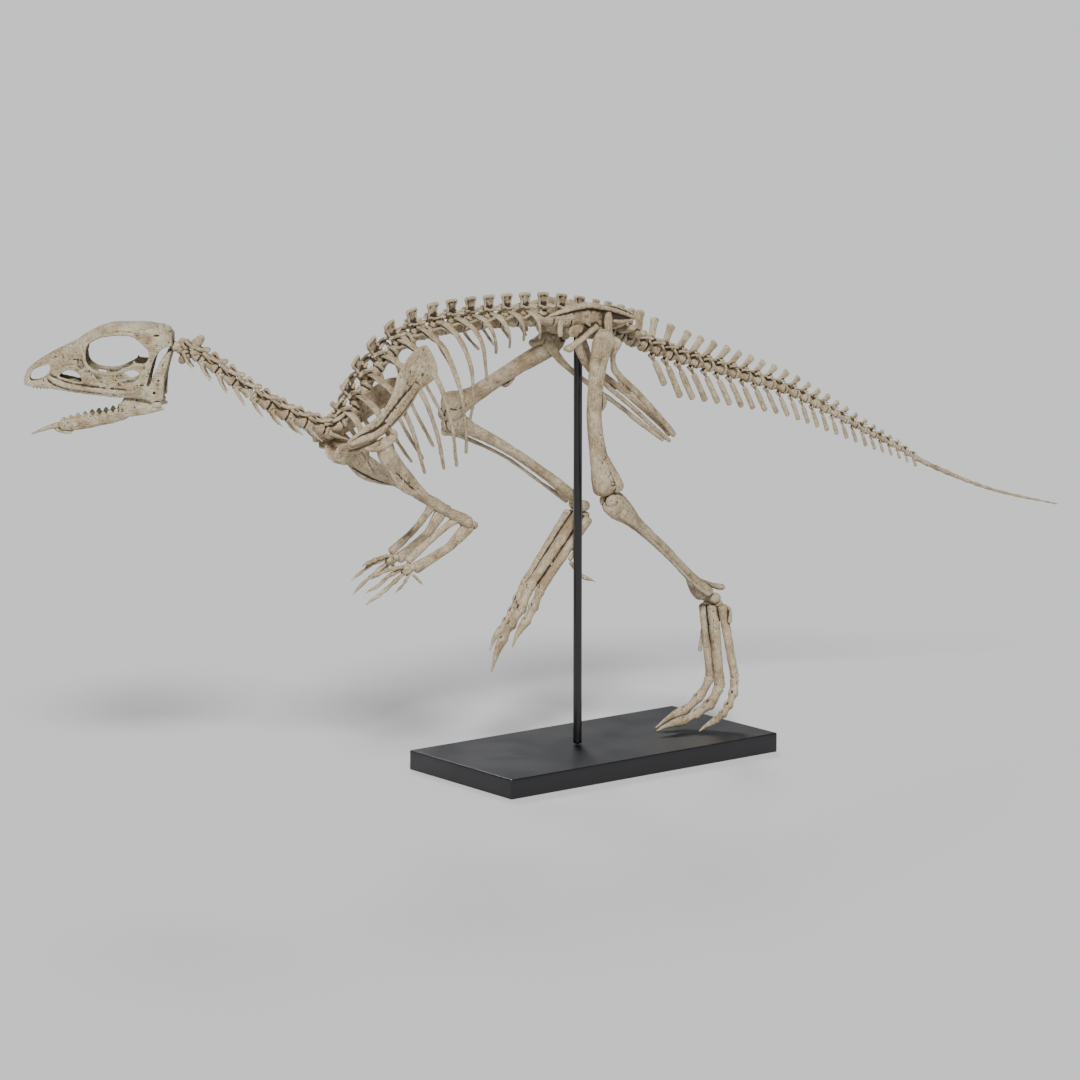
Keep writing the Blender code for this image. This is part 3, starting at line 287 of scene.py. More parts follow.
WRIST = {LEFT: (-323, -36, 290), RIGHT: (-299, 31, 290)}
WRIST_BONES = [(6, 3, 2, (5.5, 4.6, 5)), (5, -4, 3, (5, 4.4, 4.6)), (0, 0, -3, (5.4, 5, 4.6)),
               (-3, 3, 2, (4.6, 3.8, 4)), (-4, -4, 0, (4.6, 3.6, 4))]
FINGERS = {
    LEFT: [
        [(-329, -36, 294), (-350, -34, 292), (-363, -33, 288), (-378, -32, 283)],
        [(-327, -34, 291), (-347, -32, 284), (-363, -30, 273), (-383, -29, 265)],
        [(-324, -34, 287), (-343, -31, 273), (-359, -29, 262), (-380, -28, 251)],
        [(-321, -38, 285), (-332, -40, 273), (-347, -41, 262)],
        [(-318, -40, 284), (-312, -43, 277), (-306, -46, 269)],
    ],
    RIGHT: [
        [(-305, 29, 296), (-320, 28, 294), (-334, 27, 291), (-347, 27, 286)],
        [(-303, 31, 292), (-324, 32, 288), (-340, 34, 279), (-358, 35, 268)],
        [(-300, 33, 288), (-318, 35, 276), (-336, 37, 264), (-352, 38, 250)],
        [(-296, 35, 286), (-307, 39, 274), (-322, 42, 265)],
        [(-293, 35, 285), (-288, 40, 277), (-282, 44, 269)],
    ],
}
FINGER_RADIUS = [2.7, 2.6, 2.7, 2.1, 1.8]
FINGER_THICKER = 1.15
FINGER_BONES = [3, 3, 3, 2, 2]

HIP = (-22, 553)
FEMUR = {
    LEFT: [(-20, -45, 560), (-23, -44, 547), (-29, -43, 526), (-36, -44, 490), (-38, -44, 449),
           (-31, -44, 404), (-20, -43, 372), (-12, -43, 353)],
    RIGHT: [(-20, 45, 553), (-32, 43, 541), (-55, 40, 528), (-92, 38, 514), (-130, 38, 498),
            (-168, 38, 481), (-197, 38, 472), (-212, 38, 468)],
}
FEMUR_HALF_WIDTH = [7, 9, 9, 8.5, 8.5, 9.5, 13, 15]
FEMUR_HALF_DEPTH = [10, 16, 13, 10.5, 10, 12, 19, 22]
TIBIA = {
    LEFT: [(-17, -42, 347), (5, -42, 331), (33, -38, 311), (91, -28, 268), (143, -17, 226),
           (166, -12, 209), (179, -9, 200)],
    RIGHT: [(-207, 38, 448), (-196, 38, 450), (-170, 37, 440), (-110, 34, 408), (-52, 30, 369),
            (-25, 27, 347), (-9, 26, 335)],
}
TIBIA_HALF_WIDTH = [11, 11, 8, 6.5, 7.5, 13, 16]
TIBIA_HALF_DEPTH = [14, 15, 9, 6.5, 6.5, 7.5, 7]
FIBULA = {
    LEFT: [(-2, -54, 329), (12, -53.5, 320), (34, -48, 302), (90, -36, 259), (142, -26, 217),
           (171, -23, 199)],
    RIGHT: [(-206, 50, 440), (-195, 49.5, 439), (-171, 47, 428), (-111, 42.5, 398), (-54, 40, 359),
            (-14, 39, 333)],
}
ANKLE = {LEFT: (184, -9, 193), RIGHT: (-5, 27, 329)}
METATARSAL_TOPS = {
    LEFT: [(181, 1, 184), (187, -10, 185), (194, -21, 184)],
    RIGHT: [(3, 17, 313), (-5, 27, 319), (-12, 37, 321)],
}
METATARSAL_ENDS = {
    LEFT: [(189, -4, 86), (191, -21, 76), (203, -37, 89)],
    RIGHT: [(-77, 14, 231), (-88, 25, 231), (-86, 38, 233)],
}
METATARSAL_RADIUS = [5, 6, 5]
SPLINTS = {
    LEFT: [[(193, -20, 178), (201, -28, 178), (197, -33, 160)],
           [(184, 4, 152), (184, 8, 136), (182, 9, 118)]],
    RIGHT: [[(-12, 38, 304), (-4, 44, 293), (-12, 49, 281)],
            [(-17, 17, 284), (-23, 12.5, 274), (-33, 12.2, 262)]],
}
TOES = {
    LEFT: [
        [(176, -5, 68), (154, -3, 50), (125, -2, 39), (98, -2, 29)],
        [(176, -23, 58), (156, -24, 48), (121, -25, 38), (80, -26, 32)],
        [(196, -41, 66), (180, -45, 48), (160, -48, 38), (131, -51, 29)],
    ],
    RIGHT: [
        [(-90, 12, 210), (-102, 11, 194), (-117, 9, 178), (-128, 8, 162)],
        [(-102, 24, 207), (-116, 23, 191), (-136, 22, 164), (-151, 21, 131)],
        [(-102, 38, 205), (-117, 39, 185), (-131, 40, 168), (-139, 40, 154)],
    ],
}
TOE_RADIUS = [5.2, 6, 5.2]
TOE_THICKER = 1.3
TOE_BONES = (2, 3, 4)
TOE_CLAW = 2.0
HALLUX = [(-30, 14, 260), (-20, 12.5, 247), (-8, 11, 237), (9, 10, 229)]
HALLUX_RADIUS = 3.4

# Stand
ROD_X = -29
ROD_RADIUS = 5.5
BASE_CORNER = 2.0
BASE_TURN = 7

# Floor, world and lights: places in metres
FLOOR_REACH = 60.0
FLOOR_ROUGHNESS = 0.9
WORLD_COLOUR = (0.80, 0.82, 0.86)
WORLD_STRENGTH = 0.26
MAIN_LIGHT = (-1.7, -2.4, 2.9)
RIM_LIGHT = (1.2, 2.4, 2.6)
RIM_SHARE = 0.22
LIT_PLACE = (0, 0, 0.4)

# The photograph's view
CAMERA_PLACE = (-3.29436, -4.09011, 1.20434)
CAMERA_PITCH = math.radians(9.914)
CAMERA_YAW = math.radians(38.08)
CAMERA_LENS = 140
CAMERA_SENSOR = 36
CAMERA_REACH = 160


def curve(points, places):
    """Points of a Catmull-Rom curve through the given ones, at places from 0 to 1 along it."""
    points = np.array(points, float)
    ends = np.concatenate([2 * points[:1] - points[1:2], points, 2 * points[-1:] - points[-2:-1]])
    place = np.asarray(places) * (len(points) - 1)
    start = np.clip(place.astype(int), 0, len(points) - 2)
    t = (place - start).reshape((-1,) + (1,) * (points.ndim - 1))
    a, b, c, d = (ends[start + k] for k in range(4))
    return 0.5 * (2 * b + (c - a) * t + (2 * a - 5 * b + 4 * c - d) * t ** 2
                  + (3 * b - a - 3 * c + d) * t ** 3)


def ring_curve(points, count):
    """Points of a closed Catmull-Rom curve: the one through the points repeated, cut to one round."""
    points = np.array(points, float)
    around = np.concatenate([points[-2:], points, points[:3]])
    places = (2 + np.arange(count) * len(points) / count) / (len(around) - 1)
    return curve(around, places)


def unit(vectors):
    """Vectors of length one."""
    return vectors / np.linalg.norm(vectors, axis=-1, keepdims=True)


def along(path):
    """Length walked along a path at each of its points."""
    steps = np.linalg.norm(np.diff(path, axis=0), axis=1)
    return np.concatenate([[0], np.cumsum(steps)])


def tube(points, width, depth, up=UP, sides=20, square=2.0, dome=0.8, ahead=None, step=1.6, wave=0.0):
    """A closed surface of two parameters: a profile carried along a path.

    Along: the Catmull-Rom curve through points, with the half sizes width and depth on the same curve.
    Around: the superellipse |x / width|^n + |y / depth|^n = 1, with n = square.
    Towards each end the ring shrinks as sqrt(1 - (1 - d / r)^2), where d is the length left and r is dome
    times the end's mean half size, which closes the tube with a dome. Wave moves the path to its sides by
    a slow sine of that height.
    """
    points = np.array(points, float)
    sizes = np.empty((len(points), 2))
    sizes[:, 0] = width
    sizes[:, 1] = depth
    count = max(14, int(along(points)[-1] / step))
    places = 0.5 - 0.5 * np.cos(np.linspace(0, math.pi, count))
    places = (1 - EVEN_SPACING) * places + EVEN_SPACING * np.linspace(0, 1, count)
    ends = np.array(END_RINGS)
    places = np.unique(np.concatenate([places, ends, 1 - ends]))
    fine = curve(np.hstack([points, sizes]), places)
    path, sizes = fine[:, :3], np.maximum(fine[:, 3:], LEAST_HALF_SIZE)
    walked = along(path)
    for left, end in ((walked, 0), (walked[-1] - walked, -1)):
        reach = max(dome * sizes[end].mean(), 0.01)
        sizes = sizes * np.sqrt(np.clip(1 - (1 - np.minimum(left / reach, 1)) ** 2, 0.004, 1))[:, None]
    if ahead is None:
        ahead = unit(np.gradient(path, axis=0))
    else:
        ahead = unit(curve(ahead, places))
    up = np.array(up, float)
    up = unit(up - (ahead @ up)[:, None] * ahead)
    side = np.cross(up, ahead)
    path = path + wave * np.sin(walked * WAVE_RATE + points[0, 0])[:, None] * side
    turn = np.arange(sides) * 2 * math.pi / sides
    outline = np.stack([np.cos(turn), np.sin(turn)], axis=-1)
    outline = np.sign(outline) * np.abs(outline) ** (2 / square)
    outline = outline * sizes[:, None, :]
    grid = path[:, None, :] + outline[..., :1] * side[:, None, :] + outline[..., 1:] * up[:, None, :]
    return {"grid": grid, "path": path, "walked": walked, "ahead": ahead, "side": side, "up": up}


def with_axes(grid, *axes):
    """A surface whose grain runs along the mean of its rings, with the same three axes everywhere."""
    path = grid.mean(axis=1)
    held = {key: np.tile(axis, (len(path), 1)) for key, axis in zip(("ahead", "side", "up"), axes)}
    return {"grid": grid, "path": path, "walked": along(path), **held}


def lump(centre, sizes, up=UP, ahead=TAILWARD, sides=16):
    """An ellipsoid: rings of radius cos(latitude) from pole to pole, scaled by sizes (ahead, side, up)."""
    ahead = unit(np.array(ahead, float))
    up = np.array(up, float)
    up = unit(up - (ahead @ up) * ahead)
    side = np.cross(up, ahead)
    latitude = np.linspace(-0.49, 0.49, 12)[:, None] * math.pi
    turn = np.arange(sides)[None, :] * 2 * math.pi / sides
    parts = np.stack([np.sin(latitude) + 0 * turn, np.cos(latitude) * np.cos(turn),
                      np.cos(latitude) * np.sin(turn)], axis=-1) * np.array(sizes, float)
    axes = np.stack([ahead, side, up])
    return with_axes(np.array(centre, float) + parts @ axes, ahead, side, up)


def mirrored(piece):
    """The same surface on the animal's other side."""
    flip = np.array([1, -1, 1])
    turned = {key: piece[key] * flip for key in ("path", "ahead", "side", "up")}
    return {**piece, **turned, "grid": piece["grid"][:, ::-1] * flip}


def on_side(pieces, side):
    """Surfaces given for the left side, as they are or mirrored."""
    return pieces if side == LEFT else [mirrored(piece) for piece in pieces]


def mesh_of(name, pieces):
    """One mesh of all the grids: four-sided faces between rings, and a fan to a pole at each end."""
    places, quads, fans = [], [], []
    first = 0
    for piece in pieces:
        grid = piece["grid"]
        rings, sides = grid.shape[:2]
        poles = np.stack([grid[0].mean(axis=0), grid[-1].mean(axis=0)])
        places += [grid.reshape(-1, 3), poles]
        ring, k = np.meshgrid(np.arange(rings - 1), np.arange(sides), indexing="ij")
        a = first + ring * sides + k
        b = first + ring * sides + (k + 1) % sides
        quads.append(np.stack([a, b, b + sides, a + sides], axis=-1).reshape(-1, 4))
        k = np.arange(sides)
        last = first + (rings - 1) * sides
        pole = first + rings * sides
        fans.append(np.stack([first + (k + 1) % sides, first + k, np.full(sides, pole)], axis=-1))
        fans.append(np.stack([last + k, last + (k + 1) % sides, np.full(sides, pole + 1)], axis=-1))
        first = pole + 2
    places = np.concatenate(places) * MM
    quads, fans = np.concatenate(quads), np.concatenate(fans)
    mesh = bpy.data.meshes.new(name)
    mesh.vertices.add(len(places))
    mesh.vertices.foreach_set("co", places.ravel())
    mesh.loops.add(quads.size + fans.size)
    mesh.loops.foreach_set("vertex_index", np.concatenate([quads.ravel(), fans.ravel()]))
    starts = np.concatenate([np.arange(len(quads)) * 4, quads.size + np.arange(len(fans)) * 3])
    mesh.polygons.add(len(starts))
    mesh.polygons.foreach_set("loop_start", starts)
    mesh.update(calc_edges=True)
    mesh.validate()
    return mesh


def new_item(name, mesh):
    item = bpy.data.objects.new(name, mesh)
    bpy.context.scene.collection.objects.link(item)
    return item


def apply_modifiers(item):
    """Replace the item's mesh by what its modifiers make of it."""
    bpy.context.view_layer.update()
    graph = bpy.context.evaluated_depsgraph_get()
    mesh = bpy.data.meshes.new_from_object(item.evaluated_get(graph))
    item.modifiers.clear()
    item.data = mesh


def cut(item, pieces):
    """Take closed surfaces out of the item with one exact Boolean."""
    cutter = new_item("cutter", mesh_of("cutter", pieces))
    modifier = item.modifiers.new("windows", "BOOLEAN")
    modifier.operation = "DIFFERENCE"
    modifier.object = cutter
    modifier.solver = "EXACT"
    modifier.use_self = True
    apply_modifiers(item)
    bpy.data.objects.remove(cutter, do_unlink=True)


def neighbour_mean(places, edges):
    """The mean place of each vertex's neighbours, summed over both ends of every edge."""
    a, b = edges.T
    most = len(places)
    count = np.bincount(edges.ravel(), minlength=most)[:, None]
    total = np.stack([np.bincount(a, places[b, k], most) + np.bincount(b, places[a, k], most)
                      for k in range(3)], axis=-1)
    return total / np.maximum(count, 1)


def evened(places, edges):
    """Smooth without shrinking: each round moves to the neighbours' mean, then a little further back."""
    for _ in range(EVEN_ROUNDS):
        for share in (EVEN_PULL, -EVEN_PUSH):
            places = places + share * (neighbour_mean(places, edges) - places)
    return places


def noise(places, size, seed):
    """Value noise from -1 to 1: lattice values joined by the smooth step 3t^2 - 2t^3."""
    prime_x, prime_y, prime_z, prime_seed = NOISE_PRIMES
    place = places / size + seed * NOISE_SEED_STEP
    cell = np.floor(place).astype(np.int64)
    t = place - cell
    t = t * t * (3 - 2 * t)
    total = np.zeros(len(places))
    for corner in range(8):
        step = np.array([corner & 1, corner >> 1 & 1, corner >> 2])
        x, y, z = (cell + step).T
        mixed = (x * prime_x) ^ (y * prime_y) ^ (z * prime_z) ^ (seed * prime_seed)
        mixed = (mixed ^ (mixed >> 13)) * NOISE_MIXER
        value = ((mixed ^ (mixed >> 16)) & NOISE_MASK) / (NOISE_MASK / 2) - 1
        total += value * np.prod(np.where(step == 1, t, 1 - t), axis=1)
    return total


def bone_places(places, pieces):
    """Each vertex's place along and across the nearest bone's path, for grain that follows the bone."""
    keep = 3
    path = np.concatenate([piece["path"][::keep] for piece in pieces])
    walked = np.concatenate([piece["walked"][::keep] for piece in pieces])
    axes = np.stack([np.concatenate([piece[key][::keep] for piece in pieces])
                     for key in ("ahead", "side", "up")], axis=1)
    found = []
    for part in np.array_split(places.astype(np.float32), max(1, len(places) // 4000)):
        far = (path ** 2).sum(axis=1)[None, :] - 2 * part @ path.T.astype(np.float32)
        nearest = far.argmin(axis=1)
        way = np.einsum("nij,nj->ni", axes[nearest], part - path[nearest])
        way[:, 0] += walked[nearest]
        found.append(way)
    return np.concatenate(found)


def relief(places, normals, amount, seed):
    """Move the surface along its normals by lumps, fine unevenness and pits, all by noise."""
    swell = noise(places, SWELL[0], seed) * SWELL[1] + noise(places, UNEVEN[0], seed + 1) * UNEVEN[1]
    pit = np.clip(noise(places, PIT_SIZE, seed + 2) - PIT_LEVEL, 0, 1)
    pit = pit * np.clip(noise(places, PIT_PATCH_SIZE, seed + 3) + PIT_LEVEL, 0, 1)
    return places + normals * (swell - PIT_DEPTH * pit)[:, None] * amount


def vertex_array(mesh, key="co"):
    values = np.empty(len(mesh.vertices) * 3)
    source = mesh.vertices if key == "co" else mesh.vertex_normals
    source.foreach_get("co" if key == "co" else "vector", values)
    return values.reshape(-1, 3)


def edge_array(mesh):
    edges = np.empty(len(mesh.edges) * 2, int)
    mesh.edges.foreach_get("vertices", edges)
    return edges.reshape(-1, 2)


def store(mesh, name, values, kind="FLOAT"):
    attribute = mesh.attributes.new(name, kind, "POINT")
    attribute.data.foreach_set("value" if kind == "FLOAT" else "vector", values.astype(np.float32).ravel())


def dress(item, places, edges, normals, pieces):
    """Store what the finish reads: how hollow the surface is, which sets its painted shade, and the place
    along the bone.

    A hollow's depth is how far the surface moves outwards when it is smoothed, for three widths of hollow.
    """
    smooth = places
    for key, rounds, gain in HOLLOWS:
        for _ in range(rounds):
            smooth = smooth + HOLLOW_SHARE * (neighbour_mean(smooth, edges) - smooth)
        depth = ((smooth - places) * normals).sum(axis=1)
        store(item.data, key, np.clip(0.5 + depth * gain, 0, 1))
    store(item.data, "bone_place", bone_places(places, pieces) * MM, "FLOAT_VECTOR")


def join(items, name):
    """Join separate meshes into a new one with bmesh."""
    work = bmesh.new()
    for item in items:
        work.from_mesh(item.data)
    mesh = bpy.data.meshes.new(name)
    work.to_mesh(mesh)
    work.free()
    for item in items:
        bpy.data.objects.remove(item, do_unlink=True)
    return new_item(name, mesh)


def move_vertices(mesh, places):
    """Put the mesh's vertices at places given in millimetres, and return the new normals."""
    mesh.vertices.foreach_set("co", (places * MM).ravel())
    mesh.update()
    return vertex_array(mesh, "normal")


def finish_bone(item, nodes, pieces, finish, voxel, seed):
    """Fuse the item's surfaces into one skin, even it out, give it relief and its finish."""
    remesh = item.modifiers.new("fuse", "REMESH")
    remesh.mode = "VOXEL"
    remesh.voxel_size = voxel * MM * 1
    apply_modifiers(item)
    mesh = item.data
    edges = edge_array(mesh)
    places = evened(vertex_array(mesh) / MM, edges)
    normals = move_vertices(mesh, places)
    places = relief(places, normals, bpy.context.scene.skeleton_bones.relief / MM, seed)
    normals = move_vertices(mesh, places)
    dress(item, places, edges, normals, pieces)
    mesh.shade_smooth()
    set_piece(item, nodes, finish)


def set_piece(item, nodes, finish):
    item.data.materials.clear()
    item.data.materials.append(finish)
    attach(item, "root")
    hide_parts(*nodes)


class Recipe:
    """Adds shader nodes to a new material and wires them."""

    def __init__(self, name):
        self.material = bpy.data.materials.new(name)
        self.material.use_nodes = True
        self.tree = self.material.node_tree
        self.shader = self.tree.nodes["Principled BSDF"]

    def add(self, kind, settings=None, **inputs):
        node = self.tree.nodes.new("ShaderNode" + kind)
        for key, value in (settings or {}).items():
            setattr(node, key, value)
        for key, value in inputs.items():
            self.wire(value, node.inputs[key.replace("_", " ")])
        return node

    def wire(self, value, socket):
        if isinstance(value, bpy.types.NodeSocket):
            self.tree.links.new(value, socket)
        else:
            socket.default_value = value

    def ramp(self, value, low, high, first=0.0, last=1.0):
        """Maps low to high onto first to last, held at both ends."""
        node = self.add("MapRange", {"interpolation_type": "SMOOTHSTEP"})
        for socket, number in zip(node.inputs[:5], (value, low, high, first, last)):
            self.wire(number, socket)
        return node.outputs[0]

    def mix(self, share, first, second, blend="MIX"):
        node = self.add("Mix", {"data_type": "RGBA", "blend_type": blend})
        self.wire(share, node.inputs[0])
        self.wire(first, node.inputs[6])
        self.wire(second, node.inputs[7])
        return node.outputs[2]

    def math(self, operation, first, second):
        node = self.add("Math", {"operation": operation})
        self.wire(first, node.inputs[0])
        self.wire(second, node.inputs[1])
        return node.outputs[0]

    def attribute(self, name, output="Fac"):
        return self.add("Attribute", {"attribute_name": name}).outputs[output]

    def moved(self, vector, scale):
        return self.add("Mapping", Vector=vector, Scale=scale).outputs[0]

    def noise(self, vector, scale, detail, rough):
        node = self.add("TexNoise", Vector=vector, Scale=scale, Detail=detail, Roughness=rough)
        return node.outputs["Fac"]

    def object_places(self):
        return self.add("TexCoord").outputs["Object"]


def colour_of(values):
    return (*values, 1)


def bone_finish(name, light, shade_and_stain_dark, stain):
    """Old bone: pale on ridges, blotched, with streaks along the bone and small pits, and painted shade that
    darkens its hollows and pits to a deep brown.
    """
    recipe = Recipe(name)
    places = recipe.object_places()
    along_bone = recipe.moved(recipe.attribute("bone_place", "Vector"), (130, 900, 900))
    streaks = recipe.noise(along_bone, 1.0, 4.0, 0.6)
    blotches = recipe.noise(places, 38.0, 4.0, 0.6)
    patches = recipe.noise(places, 130.0, 3.0, 0.6)
    specks = recipe.noise(places, 900.0, 3.0, 0.65)
    hollow = recipe.attribute("hollow")
    broad = recipe.attribute("broad_hollow")
    basin = recipe.attribute("deep_hollow")
    colour = recipe.mix(recipe.ramp(blotches, 0.36, 0.66), colour_of(light), colour_of(stain))
    colour = recipe.mix(recipe.ramp(patches, 0.55, 0.78, 0.0, 0.55), colour, colour_of(shade_and_stain_dark))
    # Painted shade: hollows of three widths are darkened towards the dark colour, where shade falls.
    colour = recipe.mix(recipe.ramp(basin, 0.48, 0.86, 0.0, 0.85), colour, colour_of(shade_and_stain_dark))
    colour = recipe.mix(recipe.ramp(broad, 0.49, 0.82, 0.0, 0.9), colour, colour_of(shade_and_stain_dark))
    colour = recipe.mix(recipe.ramp(hollow, 0.54, 0.86, 0.0, 0.94), colour, colour_of(shade_and_stain_dark))
    colour = recipe.mix(recipe.ramp(hollow, 0.46, 0.1, 0.0, 0.45), colour, colour_of(light))
    shade = recipe.ramp(streaks, 0.3, 0.7, 0.62, 1.18)
    colour = recipe.mix(1.0, colour, shade, "MULTIPLY")
    shade = recipe.ramp(specks, 0.32, 0.68, 0.68, 1.16)
    colour = recipe.mix(1.0, colour, shade, "MULTIPLY")
    # Small pits, which dip in the bump and are darkened with painted shade towards a still darker colour.
    cells = recipe.add("TexVoronoi", Vector=places, Scale=620.0).outputs["Distance"]
    where = recipe.ramp(patches, 0.46, 0.6)
    hole = recipe.math("MULTIPLY", recipe.ramp(cells, 0.30, 0.12), where)
    pit_shade = colour_of([c * 0.35 for c in shade_and_stain_dark])
    colour = recipe.mix(recipe.math("MULTIPLY", hole, 0.7), colour, pit_shade)
    recipe.wire(colour, recipe.shader.inputs["Base Color"])
    recipe.wire(recipe.ramp(blotches, 0.3, 0.7, 0.62, 0.82), recipe.shader.inputs["Roughness"])
    recipe.shader.inputs["Specular IOR Level"].default_value = 0.35
    height = recipe.math("ADD", recipe.math("MULTIPLY", streaks, 0.6),
                         recipe.math("MULTIPLY", specks, 0.5))
    height = recipe.math("SUBTRACT", height, recipe.math("MULTIPLY", hole, 0.9))
    bump = recipe.add("Bump", Strength=0.8, Distance=0.0009, Height=height)
    recipe.wire(bump.outputs[0], recipe.shader.inputs["Normal"])
    return recipe.material


class SpineLine:
    """The spine's centre line by length, with its directions."""

    def __init__(self, points):
        self.points = curve(points, np.linspace(0, 1, len(points) * 24))
        self.length = along(self.points)

    def at_x(self, x):
        return float(np.interp(x, self.points[:, 0], self.length))

    def centre(self, s):
        return np.stack([np.interp(s, self.length, self.points[:, k]) for k in range(3)], axis=-1)

    def direction(self, s):
        s = np.asarray(s, float)
        return unit(self.centre(s + 2) - self.centre(s - 2))

    def place(self, s, back=0.0, up=0.0, out=0.0, side=LEFT):
        """A place given by length along the line, then backwards, upwards and outwards on a side."""
        ahead = self.direction(s)
        rise = unit(np.array(UP) - ahead[2] * ahead)
        return self.centre(s) + back * ahead + up * rise - side * out * np.cross(ahead, rise)


LINE = SpineLine(SPINE_LINE)
FRONTS = [LINE.at_x(x) for x in (NECK_FRONT_X, BACK_FRONT_X, SACRUM_FRONT_X, TAIL_FRONT_X)]
NECK_EDGES = np.linspace(FRONTS[0], FRONTS[1], NECK_COUNT + 1)
BACK_EDGES = np.linspace(FRONTS[1], FRONTS[2], BACK_COUNT + 1)
SACRAL_EDGES = np.linspace(FRONTS[2], FRONTS[3], SACRAL_COUNT + 1)
TAIL_EDGES = FRONTS[3] + np.concatenate([[0], np.cumsum(TAIL_PITCHES)])


def between(limits, part):
    return limits[0] + (limits[1] - limits[0]) * part


def middle_of(edges, index):
    """Length along the centre line at the middle of one vertebra."""
    return (edges[index] + edges[index + 1]) / 2


def spool(first, last, radius_first, radius_last, disc=DISC_GAP, waist=WAIST):
    """A centrum: rims at both faces and a waist between, as a radius that dips by 1 - cos(2 pi t)."""
    parts = np.linspace(0, 1, 9)
    stations = between((first + disc / 2, last - disc / 2), parts)
    dip = (1 - waist) * 0.5 * (1 - np.cos(2 * math.pi * parts))
    radii = between((radius_first, radius_last), parts) * (1 - dip)
    return tube(LINE.centre(stations), radii, radii, ahead=LINE.direction(stations), dome=0.22, step=1.2)


def column(edges, radii, waist=WAIST):
    """A row of centra with a thinner core through their joints."""
    pieces = [spool(edges[k], edges[k + 1], radii[k], radii[k + 1], waist=waist)
              for k in range(len(edges) - 1)]
    stations = np.linspace(edges[0] + 1, edges[-1] - 1, 4 * len(edges))
    core = np.interp(stations, edges, radii) * waist
    pieces.append(tube(LINE.centre(stations), core, core, ahead=LINE.direction(stations)))
    return pieces


def plate(s, foot, top, half_length, half_width, lean=0.0, square=3.2):
    """A neural spine: an upright plate from foot to top above the centre line, squarish across."""
    count = max(2, np.size(half_length))
    heights = np.linspace(foot, top, count)
    path = [LINE.place(s, lean * (h - foot), h) for h in heights]
    ahead = LINE.place(s, 1) - LINE.place(s)
    return tube(path, half_width, half_length, ahead, square=square, dome=0.5, step=1.2)


def arm(s, start, end, half_width, half_depth, tip=0.6, bend=(0, 0, 0), square=2.0, side=LEFT):
    """A process between two places given as (back, up, out) from the centre line at s."""
    middle = (np.array(start) + end) / 2 + bend
    path = [LINE.place(s, *place, side) for place in (start, middle, end)]
    taper = [1, (1 + tip) / 2, tip]
    return tube(path, np.multiply(half_width, taper), np.multiply(half_depth, taper), square=square,
                step=1.2)


def both_sides(s, rows):
    """The same processes on both sides of s: a row holds what arm takes after s."""
    return [arm(s, *row, side=side) for side in SIDES for row in rows]


def joint_arms(s, scale, up, out, reach, size):
    """The four joint processes of a vertebra, two ahead and two behind, lapping on their neighbours."""
    rows = []
    for way, root_rise, tip_rise, spread in JOINT_ARMS:
        rows.append(((way * 3 * scale, (up + root_rise) * scale, out * 0.6 * scale),
                     (way * reach * scale, (up + tip_rise) * scale, out * spread * scale),
                     size * scale, size * 0.8 * scale, 0.8))
    return both_sides(s, rows)


def head(ahead, out, up):
    """Places on the head: ahead of the neck joint, out to the animal's left, and up."""
    forward = np.array([-math.cos(SKULL_HEADING), math.sin(SKULL_HEADING), 0])
    left = np.array([-math.sin(SKULL_HEADING), -math.cos(SKULL_HEADING), 0])
    ahead, out, up = (np.asarray(value, float)[..., None] for value in (ahead, out, up))
    return np.array(SKULL_PLACE) + ahead * forward + out * left + up * np.array(UP)


HEAD_FORWARD = head(1, 0, 0) - head(0, 0, 0)
HEAD_LEFT = head(0, 1, 0) - head(0, 0, 0)
STAR_MIDDLE = head(-9, 0, -6)


def neck_vertebra(index):
    """Arch, joint arms and short ribs of one neck vertebra, counted from the head."""
    s = middle_of(NECK_EDGES, index)
    pieces = []
    if index == 0:
        for ahead, up in NECK_STAR:
            pieces.append(tube([STAR_MIDDLE, head((ahead - 10) / 2, 0, (up - 6) / 2), head(ahead, 0, up)],
                               [6.5, 6, 3.6], [8, 7, 3.8], HEAD_LEFT))
    else:
        pieces.append(plate(s, 1, 12.5, (7, 6.2, 6), (6, 5, 3.6), 0.12))
        pieces.append(plate(s, 10, 16, (6, 5.2), (2.2, 1.7), 0.6))
    last = index == NECK_COUNT - 1
    length = 36 if last else 19
    rib_tip = (length - 6, -3 - length * 0.6, 10)
    short_rib = ((-9, -3, 7), rib_tip, 2.3, 2.6, 0.35, (0, -1.4, 0.6))
    return pieces + both_sides(s, NECK_ARMS + [short_rib])


def neck(first, last):
    radii = between(NECK_RADIUS, np.arange(NECK_COUNT + 1) / NECK_COUNT)
    pieces = column(NECK_EDGES[first:last + 1], radii[first:last + 1])
    for index in range(first, last):
        pieces += neck_vertebra(index)
    return pieces


def bar(ahead, out, up, width, depth, side, facing=UP, **choices):
    """A bar on the head through places ahead, out on the given side, and up."""
    return tube(head(ahead, side * np.array(out), up), width, depth, facing, **choices)


def rib(index, side):
    """One rib: two heads on the vertebra, a broad blade, then a slim rod round the chest to its tip."""
    s = middle_of(BACK_EDGES, index)
    root = LINE.place(s, 0, RIB_ROOT_UP)
    tip = np.array([RIB_TIP[index][0], 0, RIB_TIP[index][1]])
    path = []
    for part, bow in RIB_BOW:
        place = root + (tip - root) * part
        place[1] = side * RIB_WIDTH[index] * bow
        path.append(place)
    tip[1] = side * RIB_TIP_WIDTH[index]
    path.append(tip)
    slim = between((1, 0.62), index / (len(RIB_TIP) - 1))
    blade = tube(path, RIB_THICKNESS, np.multiply(RIB_BLADE, slim), TAILWARD, square=2.2, wave=0.5)
    neck_end = path[1] * 0.5 + path[2] * 0.5
    lower_head = [LINE.place(s, -7, 2, 6.5, side), (LINE.place(s, -4, 3, 13, side) + path[1]) / 2, neck_end]
    return [blade, tube(lower_head, [2.4, 1.8, 2.0], [3.4, 2.4, 2.6], TAILWARD)]


